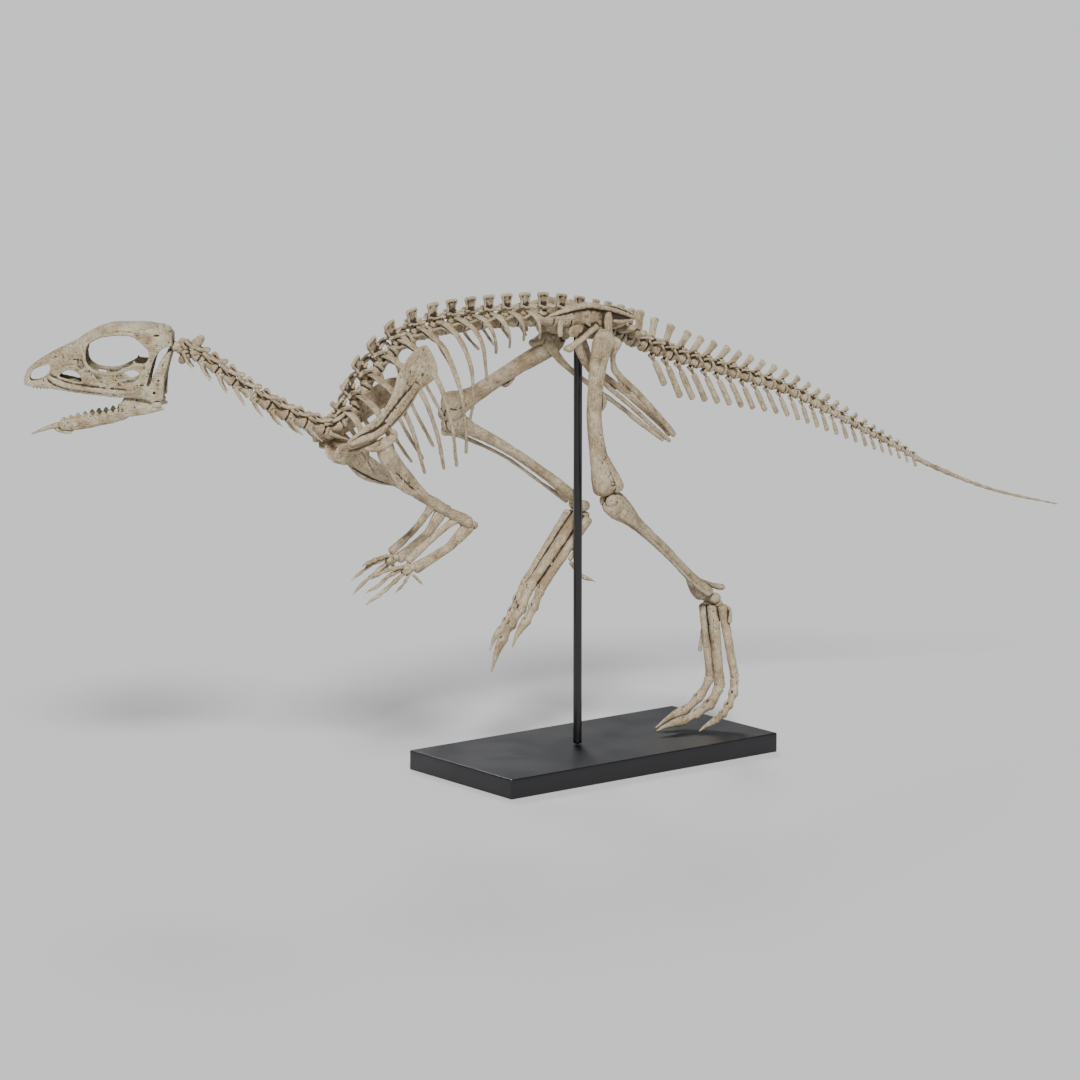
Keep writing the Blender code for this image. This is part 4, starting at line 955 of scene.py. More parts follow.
def back_vertebra(index):
    """Arch, spine with thick rims, joint arms and side processes of a back vertebra."""
    s = middle_of(BACK_EDGES, index)
    part = index / (BACK_COUNT - 1)
    lean = between(BACK_SPINE_LEAN, part)
    top = BACK_SPINE_TOP - (BACK_SPINE_RISE[index] if index < len(BACK_SPINE_RISE) else 0)
    reach = between(SIDE_PROCESS_REACH, part)
    rim = top - 2.4
    pieces = [plate(s, 2, 12, (8.2, 6.0), (5.0, 4.2), lean), plate(s, 10, 18, (6.0, 7.4), (4.4, 3.4), lean),
              plate(s, 15, top - 1, (5.6, 6.2, 8.0), (1.6, 1.2, 1.8), lean)]
    pieces.append(tube([LINE.place(s, lean * rim - 8.6, rim - 0.4), LINE.place(s, lean * rim, rim + 0.4),
                        LINE.place(s, lean * rim + 8.6, rim - 0.2)], [2.7, 2.3, 2.7], [2.3, 2.0, 2.4]))
    for end in (-1, 1):
        pieces.append(tube([LINE.place(s, 5.6 * end, 17), LINE.place(s, lean * 10 + 5.8 * end, top * 0.74),
                            LINE.place(s, lean * rim + 7.8 * end, rim)], [2.2, 1.7, 2.3], [1.5, 1.3, 1.8],
                           TAILWARD))
    rows = [((0, 14, 2), (3, 18, reach), 4.6, 1.8, 0.8, (0, 0.8, 0), 2.4),
            ((-4, 15, 3), (1, 18.4, reach - 1), 1.5, 1.9, 0.9),
            ((1, 17.6, reach - 2), (6, 18.4, reach + 0.5), 2.6, 2.3, 0.9)]
    return pieces + both_sides(s, rows) + joint_arms(s, 0.95, 17.6, 6.2, 11.5, 2.8)


def backbone():
    """The fifteen back vertebrae."""
    radii = between(BACK_RADIUS, np.linspace(0, 1, BACK_COUNT + 1))
    pieces = column(BACK_EDGES, radii)
    for index in range(BACK_COUNT):
        pieces += back_vertebra(index)
    return pieces


def rib_cage(side):
    """All the ribs of one side."""
    pieces = []
    for index in range(len(RIB_TIP)):
        pieces += rib(index, side)
    return pieces


def sacrum():
    pieces = column(SACRAL_EDGES, [SACRAL_RADIUS] * len(SACRAL_EDGES))
    for index in range(SACRAL_COUNT):
        s = middle_of(SACRAL_EDGES, index)
        part = index / (SACRAL_COUNT - 1)
        top = between(SACRAL_SPINE_TOP, part)
        lean = between(SACRAL_SPINE_LEAN, part)
        pieces.append(plate(s, 2, 17, (8.5, 7), (5.2, 4)))
        pieces.append(plate(s, 12, top, (5.6, 5, 6.2), (2, 1.7, 2.8), lean))
        pieces += both_sides(s, [((0, 4, 4), (0, 10, 35), 6.5, 4.6, 0.9, (0, -2, 0))])
        pieces += joint_arms(s, 0.9, 15, 6, 11, 2.6)
    return pieces


def tail_size(limits, s):
    part = (s - TAIL_EDGES[0]) / (TAIL_EDGES[-1] - TAIL_EDGES[0])
    return between(limits, part)


def chevron(index, s, scale):
    """A forked bone under a tail joint: two short roots that meet in one straight rod."""
    length = tail_size(CHEVRON_LENGTH, s) * (FIRST_CHEVRON_PART if index == 1 else 1)
    root = s + 0.2 * TAIL_PITCHES[index]
    radius = tail_size(TAIL_RADIUS, s)
    run, drop = CHEVRON_RUN
    fork = (0.12 * length + 1.5 * scale, -0.92 * radius - 0.12 * length, 0)
    tip = (run * length, -drop * length, 0)
    rod = arm(root, fork, tip, 3.3 * scale, 4.5 * scale, 1.15)
    start = (-1.5 * scale, -0.86 * radius, 5.2 * scale)
    return [rod] + both_sides(root, [(start, fork, 2.3 * scale, 2.6 * scale, 0.8)])


def tail_length(first, last):
    """One length of the tail with its spines, side processes, joint arms and chevrons."""
    radii = tail_size(TAIL_RADIUS, TAIL_EDGES)
    pieces = column(TAIL_EDGES[first:last + 1], radii[first:last + 1], TAIL_WAIST)
    for index in range(first, last):
        s = middle_of(TAIL_EDGES, index)
        scale = tail_size(TAIL_SCALE, s)
        top = tail_size(TAIL_SPINE_TOP, s)
        lean = TAIL_SPINE_LEANS[min(index, len(TAIL_SPINE_LEANS) - 1)]
        pieces.append(plate(s - 2, 2, top, np.multiply((8, 5.8, 5.6, 7.6), scale),
                            np.multiply((4, 3, 2.6, 3.6), scale), lean, 2.4))
        if index < TAIL_PROCESS_COUNT:
            reach = between(TAIL_PROCESS_REACH, index / (TAIL_PROCESS_COUNT - 1))
            pieces += both_sides(s, [((0, 6, 3), (3, 8, reach), 3.8, 1.9, 0.75, (0, 0.8, 0), 2.3)])
        if index > 0:
            pieces += chevron(index, s, scale)
        pieces += joint_arms(s, scale, 10.5, 5.6, 12.5, 2.9)
    return pieces


def tail_tip():
    """The thin last length: a row of small spools on a thinner core, shrinking to the tip."""
    stations = np.linspace(TAIL_EDGES[-1] + 0.5, LINE.length[-1] - 0.5, 15)
    radii = np.linspace(*TAIL_TIP_RADIUS, len(stations))
    pieces = [spool(stations[k], stations[k + 1], radii[k] * 1.08, radii[k + 1] * 1.08, 0.5)
              for k in range(len(stations) - 1)]
    core = radii * 0.85
    pieces.append(tube(LINE.centre(stations), core, core, ahead=LINE.direction(stations)))
    return pieces


def skull_profile(sections, wall=0.0):
    """Ring corners (out, up) for each section, from the crown round one side to the palate and back."""
    ahead, top, bottom, top_half, bottom_half = np.array(sections, float).T
    top, bottom = top - wall, bottom + wall
    top_half, bottom_half = top_half - wall, bottom_half - wall
    rise = top - bottom
    half = np.stack([
        np.stack([0 * top, top + 0.3], axis=-1),
        np.stack([top_half * 0.62, top - 0.02 * rise], axis=-1),
        np.stack([top_half * 0.98, top - 0.13 * rise], axis=-1),
        np.stack([0.5 * (top_half + bottom_half), top - 0.5 * rise], axis=-1),
        np.stack([bottom_half, bottom + 0.15 * rise], axis=-1),
        np.stack([bottom_half * 0.86, bottom], axis=-1),
        np.stack([bottom_half * 0.45, bottom + 0.1 * rise], axis=-1),
    ], axis=1)
    floor = np.stack([0 * top, bottom + 0.14 * rise], axis=-1)[:, None]
    other = half[:, :0:-1] * np.array([-1, 1])
    return ahead, np.concatenate([half, floor, other], axis=1)


def skull_surface(sections, wall=0.0, rings=SKULL_RINGS):
    """A surface of two parameters: Catmull-Rom curves through the section rings, around and along."""
    ahead, corners = skull_profile(sections, wall)
    rows = ring_curve(corners.swapaxes(0, 1), SKULL_RING_POINTS).swapaxes(0, 1)
    full = np.concatenate([np.broadcast_to(ahead[:, None, None], rows.shape[:2] + (1,)), rows], axis=-1)
    fine = curve(full, np.linspace(0, 1, rings))
    grid = head(fine[..., 0], fine[..., 1], fine[..., 2])
    return with_axes(grid, HEAD_FORWARD, HEAD_LEFT, np.array(UP, float))


def skull_cavity():
    """The hollow inside the skull: its own rings made smaller by the wall, and open below."""
    low, high = CAVITY_SPAN
    sections = np.array(SKULL_SECTIONS, float)[::-1]
    stations = np.linspace(high, low, 12)
    inner = np.stack([stations] + [np.interp(stations, sections[:, 0], sections[:, k])
                                   for k in range(1, 5)], axis=-1)
    inner[:, 2] += 3
    return skull_surface(inner, SKULL_WALL, 60)


def window(outline, inner, outer, count=40):
    """A cutter through the skull's side: a smooth closed outline (ahead, up) carried from inner to outer."""
    ring = ring_curve(outline, count)
    grid = np.stack([head(ring[:, 0], out, ring[:, 1]) for out in (inner, outer)])
    turned = ring[:, 0] @ np.roll(ring[:, 1], -1) - ring[:, 1] @ np.roll(ring[:, 0], -1)
    return {"grid": grid[:, ::-1] if turned * (outer - inner) > 0 else grid}


def slit_outline(line, half):
    """A closed outline that keeps a half width on both sides of a centre line."""
    line = np.array(line, float)
    way = unit(np.gradient(line, axis=0))
    across = np.stack([-way[:, 1], way[:, 0]], axis=-1) * np.array(half)[:, None]
    return np.concatenate([line + across, (line - across)[::-1]])


def skull_windows():
    """Cutters for every opening of the skull."""
    through = 50
    pieces = [window(outline, -through, through) for outline in (ORBIT, CHEEK_OPENING, NOSTRIL, ORBIT_NOTCH)]
    pieces.append(window(slit_outline(QUADRATE_SLIT, QUADRATE_SLIT_HALF), -through, through))
    for side in SIDES:
        pieces.append(window(SNOUT_OPENING, side * 5, side * through))
        pieces.append(window(ROOF_SLOT, side * 14, side * through))
        for ahead, up, radius in FORAMINA:
            turn = np.arange(10) * 2 * math.pi / 10
            ring = np.stack([ahead + radius * np.cos(turn), up + radius * np.sin(turn)], axis=-1)
            pieces.append(window(ring, side * 9, side * through, 16))
    return pieces


def skull_side(ahead, up):
    """How far out the skull's side lies at places (ahead, up), read from its sections."""
    sections = np.array(SKULL_SECTIONS, float)[::-1]
    top, bottom, top_half, bottom_half = (np.interp(ahead, sections[:, 0], sections[:, k])
                                          for k in range(1, 5))
    part = np.clip((top - up) / (top - bottom), 0, 1)
    return np.interp(part, [0, 0.02, 0.13, 0.85, 1], [0, 0.62, 0.98, 1, 0.86]) * (
        top_half + (bottom_half - top_half) * np.clip((part - 0.13) / 0.72, 0, 1))


def skull_rim(outline, side, radius, sink=1.0, closed=True):
    """A raised rim that follows an outline over the skull's side."""
    line = ring_curve(outline, 60) if closed else curve(outline, np.linspace(0, 1, 30))
    out = skull_side(line[:, 0], line[:, 1]) - sink
    path = head(line[:, 0], side * out, line[:, 1])
    if closed:
        path = np.concatenate([path, path[:2]])
    return tube(path[::3], radius, radius, HEAD_LEFT, step=1.2, dome=0.2)


def grown(outline, amount):
    """The outline moved out from its middle by amount."""
    points = np.array(outline, float)
    middle = points.mean(axis=0)
    return points + unit(points - middle) * amount


def tooth(root, tip, half_size, half_thick):
    """A leaf-shaped tooth: widest above its root, then tapering to the tip."""
    root, tip = np.array(root), np.array(tip)
    path = [root, root + (tip - root) * 0.35, root + (tip - root) * 0.65, tip]
    return tube(path, half_thick * np.array([0.8, 1, 0.8, 0.25]), half_size * np.array([0.75, 1, 0.8, 0.2]),
                HEAD_FORWARD, sides=12, step=0.7, dome=0.5)


def skull_trim():
    """What stands proud of the skull: rims, bars, the neck knob, the jaw joint and the beak's teeth."""
    pieces = [tube(head([14, 4, -2], 0, [-1, 0, 0]), [8, 6, 4.5], [8, 6, 4.5])]
    for side in SIDES:
        pieces.append(skull_rim(grown(ORBIT, 1.8), side, 2.3, 1.3))
        for outline, radius, sink in SKULL_RIMS:
            pieces.append(skull_rim(outline, side, radius, sink, False))
        pieces.append(bar([55, 53.8, 53], [27.5, 27.5, 27], [-24, -19, -14],
                          [2.2, 1.8, 0.8], [2.4, 1.8, 0.8], side, HEAD_LEFT))
        pieces.append(bar([14, 21, 25], [27, 29.5, 29.5], [-6, -36, -62],
                          [2.8, 2.4, 4], [4, 3.4, 5.5], side, HEAD_FORWARD))
        pieces.append(lump(head(27, 29 * side, -66.5), (6, 4.2, 4), HEAD_LEFT, HEAD_FORWARD))
        for k in range(BEAK_TEETH):
            ahead = BEAK_TOOTH_FRONT - BEAK_TOOTH_PITCH * k
            out = side * (4.6 + 1.2 * k)
            pieces.append(tooth(head(ahead, out, -45), head(ahead, out, -51.6), 1.5, 1.1))
        pieces.append(bar([150, 120, 80, 45], [2, 3, 4, 8], [-44, -42, -44, -50],
                          [1.6, 2, 2, 2.4], [3, 3.4, 3, 3], side))
        pieces.append(bar([62, 48, 34], [6, 15, 26], [-46, -52, -60], [1.6, 1.6, 2], [4, 5, 4], side))
    pieces.append(lump(head(19, 0, 19), (9, 20, 6.5), UP, HEAD_FORWARD))
    return pieces


def jaw_half(side):
    """One side of the lower jaw: the long bone with its bend, its teeth and the joint behind."""
    sections = np.array(JAW_SECTIONS)
    path = head(sections[:, 0], side * sections[:, 1], sections[:, 2])
    pieces = [tube(path, sections[:, 3], sections[:, 4], square=2.4, dome=0.5)]
    pieces.append(bar([60, 63, 66], [23.5, 23, 22.5], [-70, -64, -60.8],
                      [2.6, 2.2, 1.4], [7, 5, 3], side, HEAD_FORWARD))
    pieces.append(bar([70, 95, 125, 146], [20.5, 16.5, 10.5, 4.5], [-83, -88, -94.5, -96],
                      2.8, [2.6, 3, 3.2, 2.2], side, step=1.4))
    pieces.append(bar([24, 30, 36], [27.4, 27, 26.6], [-73, -69, -67.5], [3, 3.6, 3], [2.6, 3, 2.4], side))
    for k in range(LOWER_TEETH):
        part = k / (LOWER_TEETH - 1)
        ahead = between(LOWER_TOOTH_ROW, part)
        out = side * np.interp(ahead, sections[:, 0], sections[:, 1])
        up = np.interp(ahead, sections[:, 0], sections[:, 2] + sections[:, 4])
        height = 5.5 - 3 * abs(part - 0.4)
        root = head(ahead, out, up - 2.5)
        tip = head(ahead - 0.6, out, up + 0.85 * height)
        pieces.append(tooth(root, tip, 3.2, 1.9))
        socket = head(ahead + 0.4, out + 1.2 * side, up - 1.6)
        pieces.append(lump(socket, (2.6, 2.2, 2.2), UP, HEAD_FORWARD))
    return pieces


def lower_jaw():
    """Both sides of the jaw, the toothless bone at its tip and that bone's two wings."""
    tip = head(*np.array(PREDENTARY, float).T)
    wings = [bar([152, 143, 130], [2, 5, 8.5], [-98, -101.5, -103], [1.6, 1.8, 1.2], [2.4, 2.2, 1.4], side)
             for side in SIDES]
    return jaw_half(LEFT) + jaw_half(RIGHT) + wings + [tube(tip, [6.5, 5.5, 3, 1.4], [4.2, 3.4, 2.4, 1.2])]


def scapula(side):
    """The shoulder blade: a broad fan that narrows to the joint, with a ridge and a ledge near its end."""
    pieces = [tube(SCAPULA[side], SCAPULA_HALF_THICK, SCAPULA_HALF_WIDTH[side], SCAPULA_UP[side], dome=0.5,
                   square=2.5)]
    if side == LEFT:
        pieces.append(tube([(-322, -58.5, 519), (-345, -57.5, 495), (-366, -55, 474)], [1.6, 2.6, 2.6],
                           [5, 6, 5], SCAPULA_UP[side]))
        pieces.append(tube(LEDGE, [2.6, 3.8, 3.6, 2], [2.6, 4.2, 4.2, 2.2], SCAPULA_UP[side]))
        pieces.append(tube([(-395, -49, 446), (-373, -51.5, 446), (-354, -52.5, 458), (-357, -53.5, 467)],
                           [3, 4, 4, 2.6], [3, 4.6, 5, 3], SCAPULA_UP[side]))
    return pieces + on_side([lump((-364, -51, 452), (8, 5, 7))], side)


def coracoid(side):
    return on_side([tube(CORACOID, [11, 13.5, 9], [4.4, 3, 2.2], CORACOID_UP, square=2.3),
                    lump((-368, -48, 449), (7, 5, 6))], side)


def sternum(side):
    return on_side([tube(STERNUM, [1.8, 1.9, 1.6], [9, 17, 8], STERNUM_UP, square=2.2)], side)


def ilium(side):
    """The hip blade: a thin plate, a thick upper rim, a pillar, and a strut that ends in a knob."""
    pieces = [tube(ILIUM, [1.8, 2.0, 2.2, 2.3, 2.4, 2.4, 2.4, 2.0], ILIUM_HALF_HEIGHT, UP, square=2.6),
              tube(CREST, [2.2, 3.6, 4.2, 4.2, 4, 3.4, 2.2], [1.8, 2.6, 3.4, 3.6, 3.4, 3, 2]),
              tube(PUBIC_ROOT, [4.4, 4.2, 4.4, 4.6], [4.4, 3.6, 3.8, 4.6]),
              tube(ISCHIAL_ROOT, [3.6, 4.6, 5.2, 6.2], [4.5, 6.6, 5.8, 6.6], TAILWARD),
              tube([(-70, -33, 561), (-46, -32, 560), (-22, -32, 558)], [1.6, 1.8, 1.8], [6, 10, 11]),
              tube([(-84, -36, 580), (-86, -35.5, 566), (-84, -34, 556)], [2, 2.2, 2], [5, 4, 3], TAILWARD),
              tube([(-4, -38, 570), (12, -37.5, 568.5), (30, -36.5, 569.5)], [3, 3, 2.2], [2.4, 2.4, 2])]
    pieces.append(lump((-72, -37, 540.5), (6, 5.4, 5.2)))
    return on_side(pieces, side)


def pubis(side):
    return on_side([tube(PUBIS, [6, 5, 3, 2.6, 2.4, 2.4, 2.2], [9, 7, 4.5, 3.4, 3.2, 3.2, 2.6]),
                    tube(PUBIC_PRONG, [3.8, 3, 2.2], [6, 4, 3])], side)


def ischium(side):
    knob = tube([(22, -19, 494), (34, -17, 480), (44, -15.5, 472)], [1.8, 1.8, 1.2], [4, 5, 2])
    return on_side([tube(ISCHIUM, [6, 4, 3, 2.8, 2.8, 2.8], [11, 7.5, 5, 4.5, 4.2, 4], square=2.3), knob],
                   side)


def humerus(side):
    path = np.array(HUMERUS[side], float)
    pieces = [tube(path, [9, 9, 7, 5.5, 6.5, 9], [10, 13, 11, 6, 6.5, 8])]
    crest = [path[1] + (-2, side * 4, -8), path[2] + (-4, side * 4, -9), path[3] + (6, 0, -4)]
    pieces.append(tube(crest, [2.5, 3, 2], [5, 7, 3]))
    for offset in (-5, 5):
        pieces.append(lump(path[-1] + (-2, offset, 0), (7, 5, 7.5)))
    pieces.append(lump(path[0] + (2, 0, 0), (8, 9, 8)))
    return pieces


def radius_bone(side):
    return [tube(RADIUS_BONE[side], [5.6, 4.2, 4, 5.6], [6, 4.8, 4.4, 5.8])]


def ulna(side):
    path = np.array(ULNA[side], float)
    return [tube(path, [5.8, 6, 4.6, 5, 6.6], [5.6, 8.4, 6, 6.2, 7.8]),
            lump(path[0] + (2, 0, 3), (6, 5, 5.5))]


def digit(path, radius, bones, claw=1.5):
    """A finger or toe: bones that are wide at their ends and slim between, and a curved claw."""
    line = curve(path, np.linspace(0, 1, 60))
    walked = along(line)
    shares = np.array(DIGIT_SHARES[:bones] + [claw])
    edges = np.concatenate([[0], np.cumsum(shares)]) / shares.sum() * walked[-1]

    def places_between(first, last, count):
        stations = np.linspace(first, last, count)
        return np.stack([np.interp(stations, walked, line[:, axis]) for axis in range(3)], axis=-1)

    pieces = []
    for k in range(bones):
        places = places_between(edges[k] + 0.2, edges[k + 1] - 0.2, len(DIGIT_PROFILE))
        size = radius * (1 - DIGIT_THINNING * k)
        profile = size * np.array(DIGIT_PROFILE)
        pieces.append(tube(places, profile, profile * 0.95, sides=16, step=0.9, dome=0.7))
        ahead = unit(places[-1] - places[-2])
        across = unit(np.cross(ahead, np.array(UP, float)))
        for offset in (-0.48, 0.48):
            pieces.append(lump(places[-1] + across * offset * size,
                               (size * 0.85, size * 0.55, size * 0.9), UP, ahead, 12))
    places = places_between(edges[-2] + 0.1, edges[-1] - 0.3, len(CLAW_WIDTH))
    size = radius * (1 - DIGIT_THINNING * bones)
    places[:, 2] += size * 0.35 * np.sin(np.linspace(0, math.pi, len(CLAW_WIDTH)))
    pieces.append(tube(places, size * np.array(CLAW_WIDTH), size * np.array(CLAW_DEPTH), sides=16,
                       step=0.9, dome=0.5))
    return pieces


def hand(side):
    centre = np.array(WRIST[side], float)
    pieces = [lump(centre + (ahead, out * side, up), sizes) for ahead, out, up, sizes in WRIST_BONES]
    pieces.append(tube([centre + (8, 0, 3), centre, centre + (-8, 0, -1)], [5.5, 6.4, 5], [5.5, 7, 5.5]))
    for path, radius, bones in zip(FINGERS[side], FINGER_RADIUS, FINGER_BONES):
        pieces += digit(path, radius * FINGER_THICKER, bones)
    return pieces


def femur(side):
    """The thigh bone: head, great and fourth trochanters, bowed shaft and two knee condyles."""
    path = np.array(FEMUR[side], float)
    back = np.array((1.0, 0, 0) if side == LEFT else (-0.3, 0, -0.95))
    pieces = [tube(path, FEMUR_HALF_WIDTH, FEMUR_HALF_DEPTH, UP if side == RIGHT else (-1, 0, 0),
                   square=2.15)]
    pieces.append(tube([path[0] + (-2, 0, -8), (HIP[0], side * 31, HIP[1])], [10, 9.5], [10, 9.5], dome=0.9))
    middle = path[3] * 0.6 + path[4] * 0.4
    axis = unit(path[4] - path[3])
    knob = back * 9.5
    pieces.append(tube([middle - axis * 18, middle + knob * 1.25, middle + knob * 1.05 + axis * 10,
                        middle + axis * 16], [2.6, 3, 2.4, 2], [3, 7, 5, 3], back))
    end = unit(path[-1] - path[-2])
    for offset in (-7.5, 7.5):
        pieces.append(tube([path[-3] + back * 4 + (0, offset * 0.5, 0), path[-2] + back * 9 + (0, offset, 0),
                            path[-1] + back * 11 + (0, offset, 0) - end * 3], [5, 6.4, 6.2], [6, 9, 8.5],
                           back))
    return pieces


def tibia(side):
    path = np.array(TIBIA[side], float)
    up = (0.6, 0, 0.8) if side == LEFT else (0.4, 0, 0.9)
    pieces = [tube(path, TIBIA_HALF_WIDTH, TIBIA_HALF_DEPTH, up, square=2.15)]
    axis = unit(path[1] - path[0])
    for offset in (-6, 6):
        pieces.append(lump(path[0] + axis * 5 + (0, offset, 0), (8, 6.5, 9), up, axis))
    if side == LEFT:
        pieces.append(tube([(140, -17, 228), (156, -12, 208), (170, -9, 193)], [5, 8, 10], [5, 8, 6]))
        pieces.append(tube([(160, -13, 218), (184, -11, 209), (206, -11, 203)], [5, 5, 6], [4, 3.6, 4.6]))
    pieces.append(tube([path[0] + axis * 3 + np.array(up) * 12, path[1] + np.array(up) * 13,
                        path[2] + np.array(up) * 7], [2.6, 3, 2], [5, 4.5, 3], up))
    return pieces


def fibula(side):
    return [tube(FIBULA[side], [4, 4, 2.8, 2.2, 2.2, 3.6], [8, 7, 3.2, 2.2, 2.2, 4])]


def ankle(side):
    centre = np.array(ANKLE[side], float)
    return [tube([centre + (0, 15, 0), centre + (0, 6, 0), centre, centre - (0, 6, 0), centre - (0, 15, 0)],
                 [8, 7.6, 7, 7.6, 8], [7, 6.8, 6, 6.8, 7], dome=0.5)]


def metatarsus(side):
    """The long foot bones, flat against each other at the top and spreading to rounded joint ends."""
    pieces = []
    for top, end, radius in zip(METATARSAL_TOPS[side], METATARSAL_ENDS[side], METATARSAL_RADIUS):
        top, end = np.array(top, float), np.array(end, float)
        places = [top + (end - top) * part for part in (0, 0.14, 0.5, 0.82, 1)]
        sizes = np.array([1.35, 1.26, 1.14, 1.1, 1.22]) * radius
        pieces.append(tube(places, sizes, sizes, TAILWARD, dome=0.7))
        axis = unit(end - top)
        across = unit(np.cross(axis, np.array(TAILWARD, float)))
        for offset in (-0.5, 0.5):
            pieces.append(lump(end + across * offset * radius - axis * 1.5,
                               (radius * 0.95, radius * 0.62, radius * 1.1), TAILWARD, axis))
    pieces.append(tube(METATARSAL_TOPS[side], 5, 5.5, dome=0.8))
    for path in SPLINTS[side]:
        pieces.append(tube(path, [3.2, 2.3, 2.9], [3.2, 2.3, 2.9], TAILWARD))
    return pieces


def toe(side, index):
    path = [METATARSAL_ENDS[side][index]] + TOES[side][index]
    return digit(path, TOE_RADIUS[index] * TOE_THICKER, TOE_BONES[index], TOE_CLAW)


def box_of(node):
    low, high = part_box(node)
    return np.array(low) / MM, np.array(high) / MM


def stand_base(bevel):
    """A slab: rounded-rectangle rings that climb its sides, turn over the bevelled edge and close on top."""
    low, high = box_of("stand_base")
    half = (high - low)[:2] / 2
    height = high[2]
    turn = np.linspace(0, math.pi / 2, BASE_TURN)
    inset = [16, 3, 0.6, 0] + [0] * 3 + list(bevel * (1 - np.cos(turn[1:]))) + [bevel + 1, 8, 30]
    rise = [0, 0, 0, 0.6] + [height * 0.35, height * 0.7, height - bevel]
    rise += list(height - bevel + bevel * np.sin(turn[1:])) + [height] * 3
    rings = []
    corner = np.linspace(0, math.pi / 2, 6)
    for move, z in zip(inset, rise):
        radius = BASE_CORNER
        reach = half - move - radius
        ring = []
        for quarter, (sx, sy) in enumerate(((1, 1), (-1, 1), (-1, -1), (1, -1))):
            angle = corner + quarter * math.pi / 2
            ring.append(np.stack([sx * reach[0] + radius * np.cos(angle),
                                  sy * reach[1] + radius * np.sin(angle),
                                  np.full(len(corner), z)], axis=-1))
        rings.append(np.concatenate(ring))
    return {"grid": np.array(rings)}


def satin_black(name, colour, roughness):
    """Satin black lacquer: faint cloudy gloss and fine dust."""
    recipe = Recipe(name)
    places = recipe.object_places()
    cloud = recipe.noise(places, 14.0, 4.0, 0.6)
    dust = recipe.noise(places, 1400.0, 2.0, 0.7)
    colour = recipe.mix(recipe.ramp(dust, 0.55, 0.85, 0.0, 0.4), colour_of(colour),
                        colour_of([c * 2.4 for c in colour]))
    recipe.wire(colour, recipe.shader.inputs["Base Color"])
    recipe.wire(recipe.ramp(cloud, 0.3, 0.7, roughness * 0.85, roughness * 1.2),
                recipe.shader.inputs["Roughness"])
    bump = recipe.add("Bump", Strength=0.12, Distance=0.0002, Height=dust)
    recipe.wire(bump.outputs[0], recipe.shader.inputs["Normal"])
    return recipe.material


class BoneSettings(bpy.types.PropertyGroup):
    """Colours and surface of the bones."""
    light: FloatVectorProperty(name="Light bone", description="Colour of the bones' ridges and flats",
                               subtype="COLOR", size=3, default=(0.57, 0.47, 0.315))
    stain: FloatVectorProperty(name="Stain", description="Colour of the blotches on the bones",
                               subtype="COLOR", size=3, default=(0.36, 0.26, 0.15))
    # Colour of the painted shade in hollows, joints and pits, and of the dark patches
    shade_and_stain_dark: FloatVectorProperty(name="Hollows", description="Colour in pits, joints and hollows",
                              subtype="COLOR", size=3, default=(0.045, 0.027, 0.015))
    skull_light: FloatVectorProperty(name="Skull", description="Colour of the skull and jaw",
                                     subtype="COLOR", size=3, default=(0.57, 0.50, 0.345))
    relief: FloatProperty(name="Relief", description="Depth of the bones' lumps and pits",
                          default=0.0011, min=0, soft_max=0.003, unit="LENGTH")
    fineness: FloatProperty(name="Fineness", description="Size of the cells that fuse a bone's surfaces",
                            default=0.00098, min=0.0005, soft_max=0.003, unit="LENGTH")


class StandSettings(bpy.types.PropertyGroup):
    """Finish of the rod and the base."""
    edge: FloatProperty(name="Edge", description="Radius of the base's upper edges", default=0.0016,
                        min=0.0002, unit="LENGTH")
    base: FloatVectorProperty(name="Base", description="Colour of the base", subtype="COLOR", size=3,
                              default=(0.006, 0.006, 0.007))
    rod: FloatVectorProperty(name="Rod", description="Colour of the rod", subtype="COLOR", size=3,
                             default=(0.008, 0.008, 0.008))


class StageSettings(bpy.types.PropertyGroup):
    """Floor and light."""
    floor: FloatVectorProperty(name="Floor", description="Colour of the floor", subtype="COLOR", size=3,
                               default=(0.72, 0.72, 0.73))
    light: FloatProperty(name="Light", description="Strength of the main light", default=4.0, min=0)
    softness: FloatProperty(name="Softness", description="Angle that the main light spans",
                            subtype="ANGLE", default=math.radians(14), min=0)


def finish_for(name, key):
    settings = bpy.context.scene.skeleton_bones
    return bone_finish(name, getattr(settings, key), settings.shade_and_stain_dark, settings.stain)


def make_bone(name, pieces, seed, voxel=None, nodes=None, key="light", slot="bone"):
    """Build one bone's finished piece with its own finish."""
    title = name + "_bone"
    finish = finish_for(name + "_finish", key)
    item = new_item(title, mesh_of(title, pieces))
    voxel = voxel or bpy.context.scene.skeleton_bones.fineness / MM
    finish_bone(item, nodes or [name], pieces, finish, voxel, seed)


class PieceOperator(bpy.types.Operator):
    """Builds one group of pieces: here, for each side, the bones in its table."""
    bl_options = {"REGISTER", "UNDO"}
    bones = ()

    def build(self, context):
        for side in SIDES:
            for name, shape, *choices in self.bones:
                make_bone(name + "_" + SIDE_NAME[side], shape(side), *choices)

    def execute(self, context):
        self.build(context)
        return {"FINISHED"}


class SKELETON_OT_stand(PieceOperator):
    """Build the flat base and the upright rod"""
    bl_idname = "skeleton.stand"
    bl_label = "Stand"

    def build(self, context):
        settings = context.scene.skeleton_stand
        base = new_item("base_slab", mesh_of("base_slab", [stand_base(settings.edge / MM)]))
        base.data.shade_smooth()
        base.data.set_sharp_from_angle(angle=math.radians(25))
        set_piece(base, ["stand_base"], satin_black("base_lacquer", settings.base, 0.34))
        low, high = box_of("stand_rod")
        path = [(ROD_X, 0, z) for z in (low[2], (low[2] + high[2]) / 2, high[2])]
        rod = tube(path, ROD_RADIUS, ROD_RADIUS, TAILWARD, sides=48, dome=0.25, step=12)
        item = new_item("rod_post", mesh_of("rod_post", [rod]))
        item.data.shade_smooth()
        set_piece(item, ["stand_rod"], satin_black("rod_lacquer", settings.rod, 0.22))


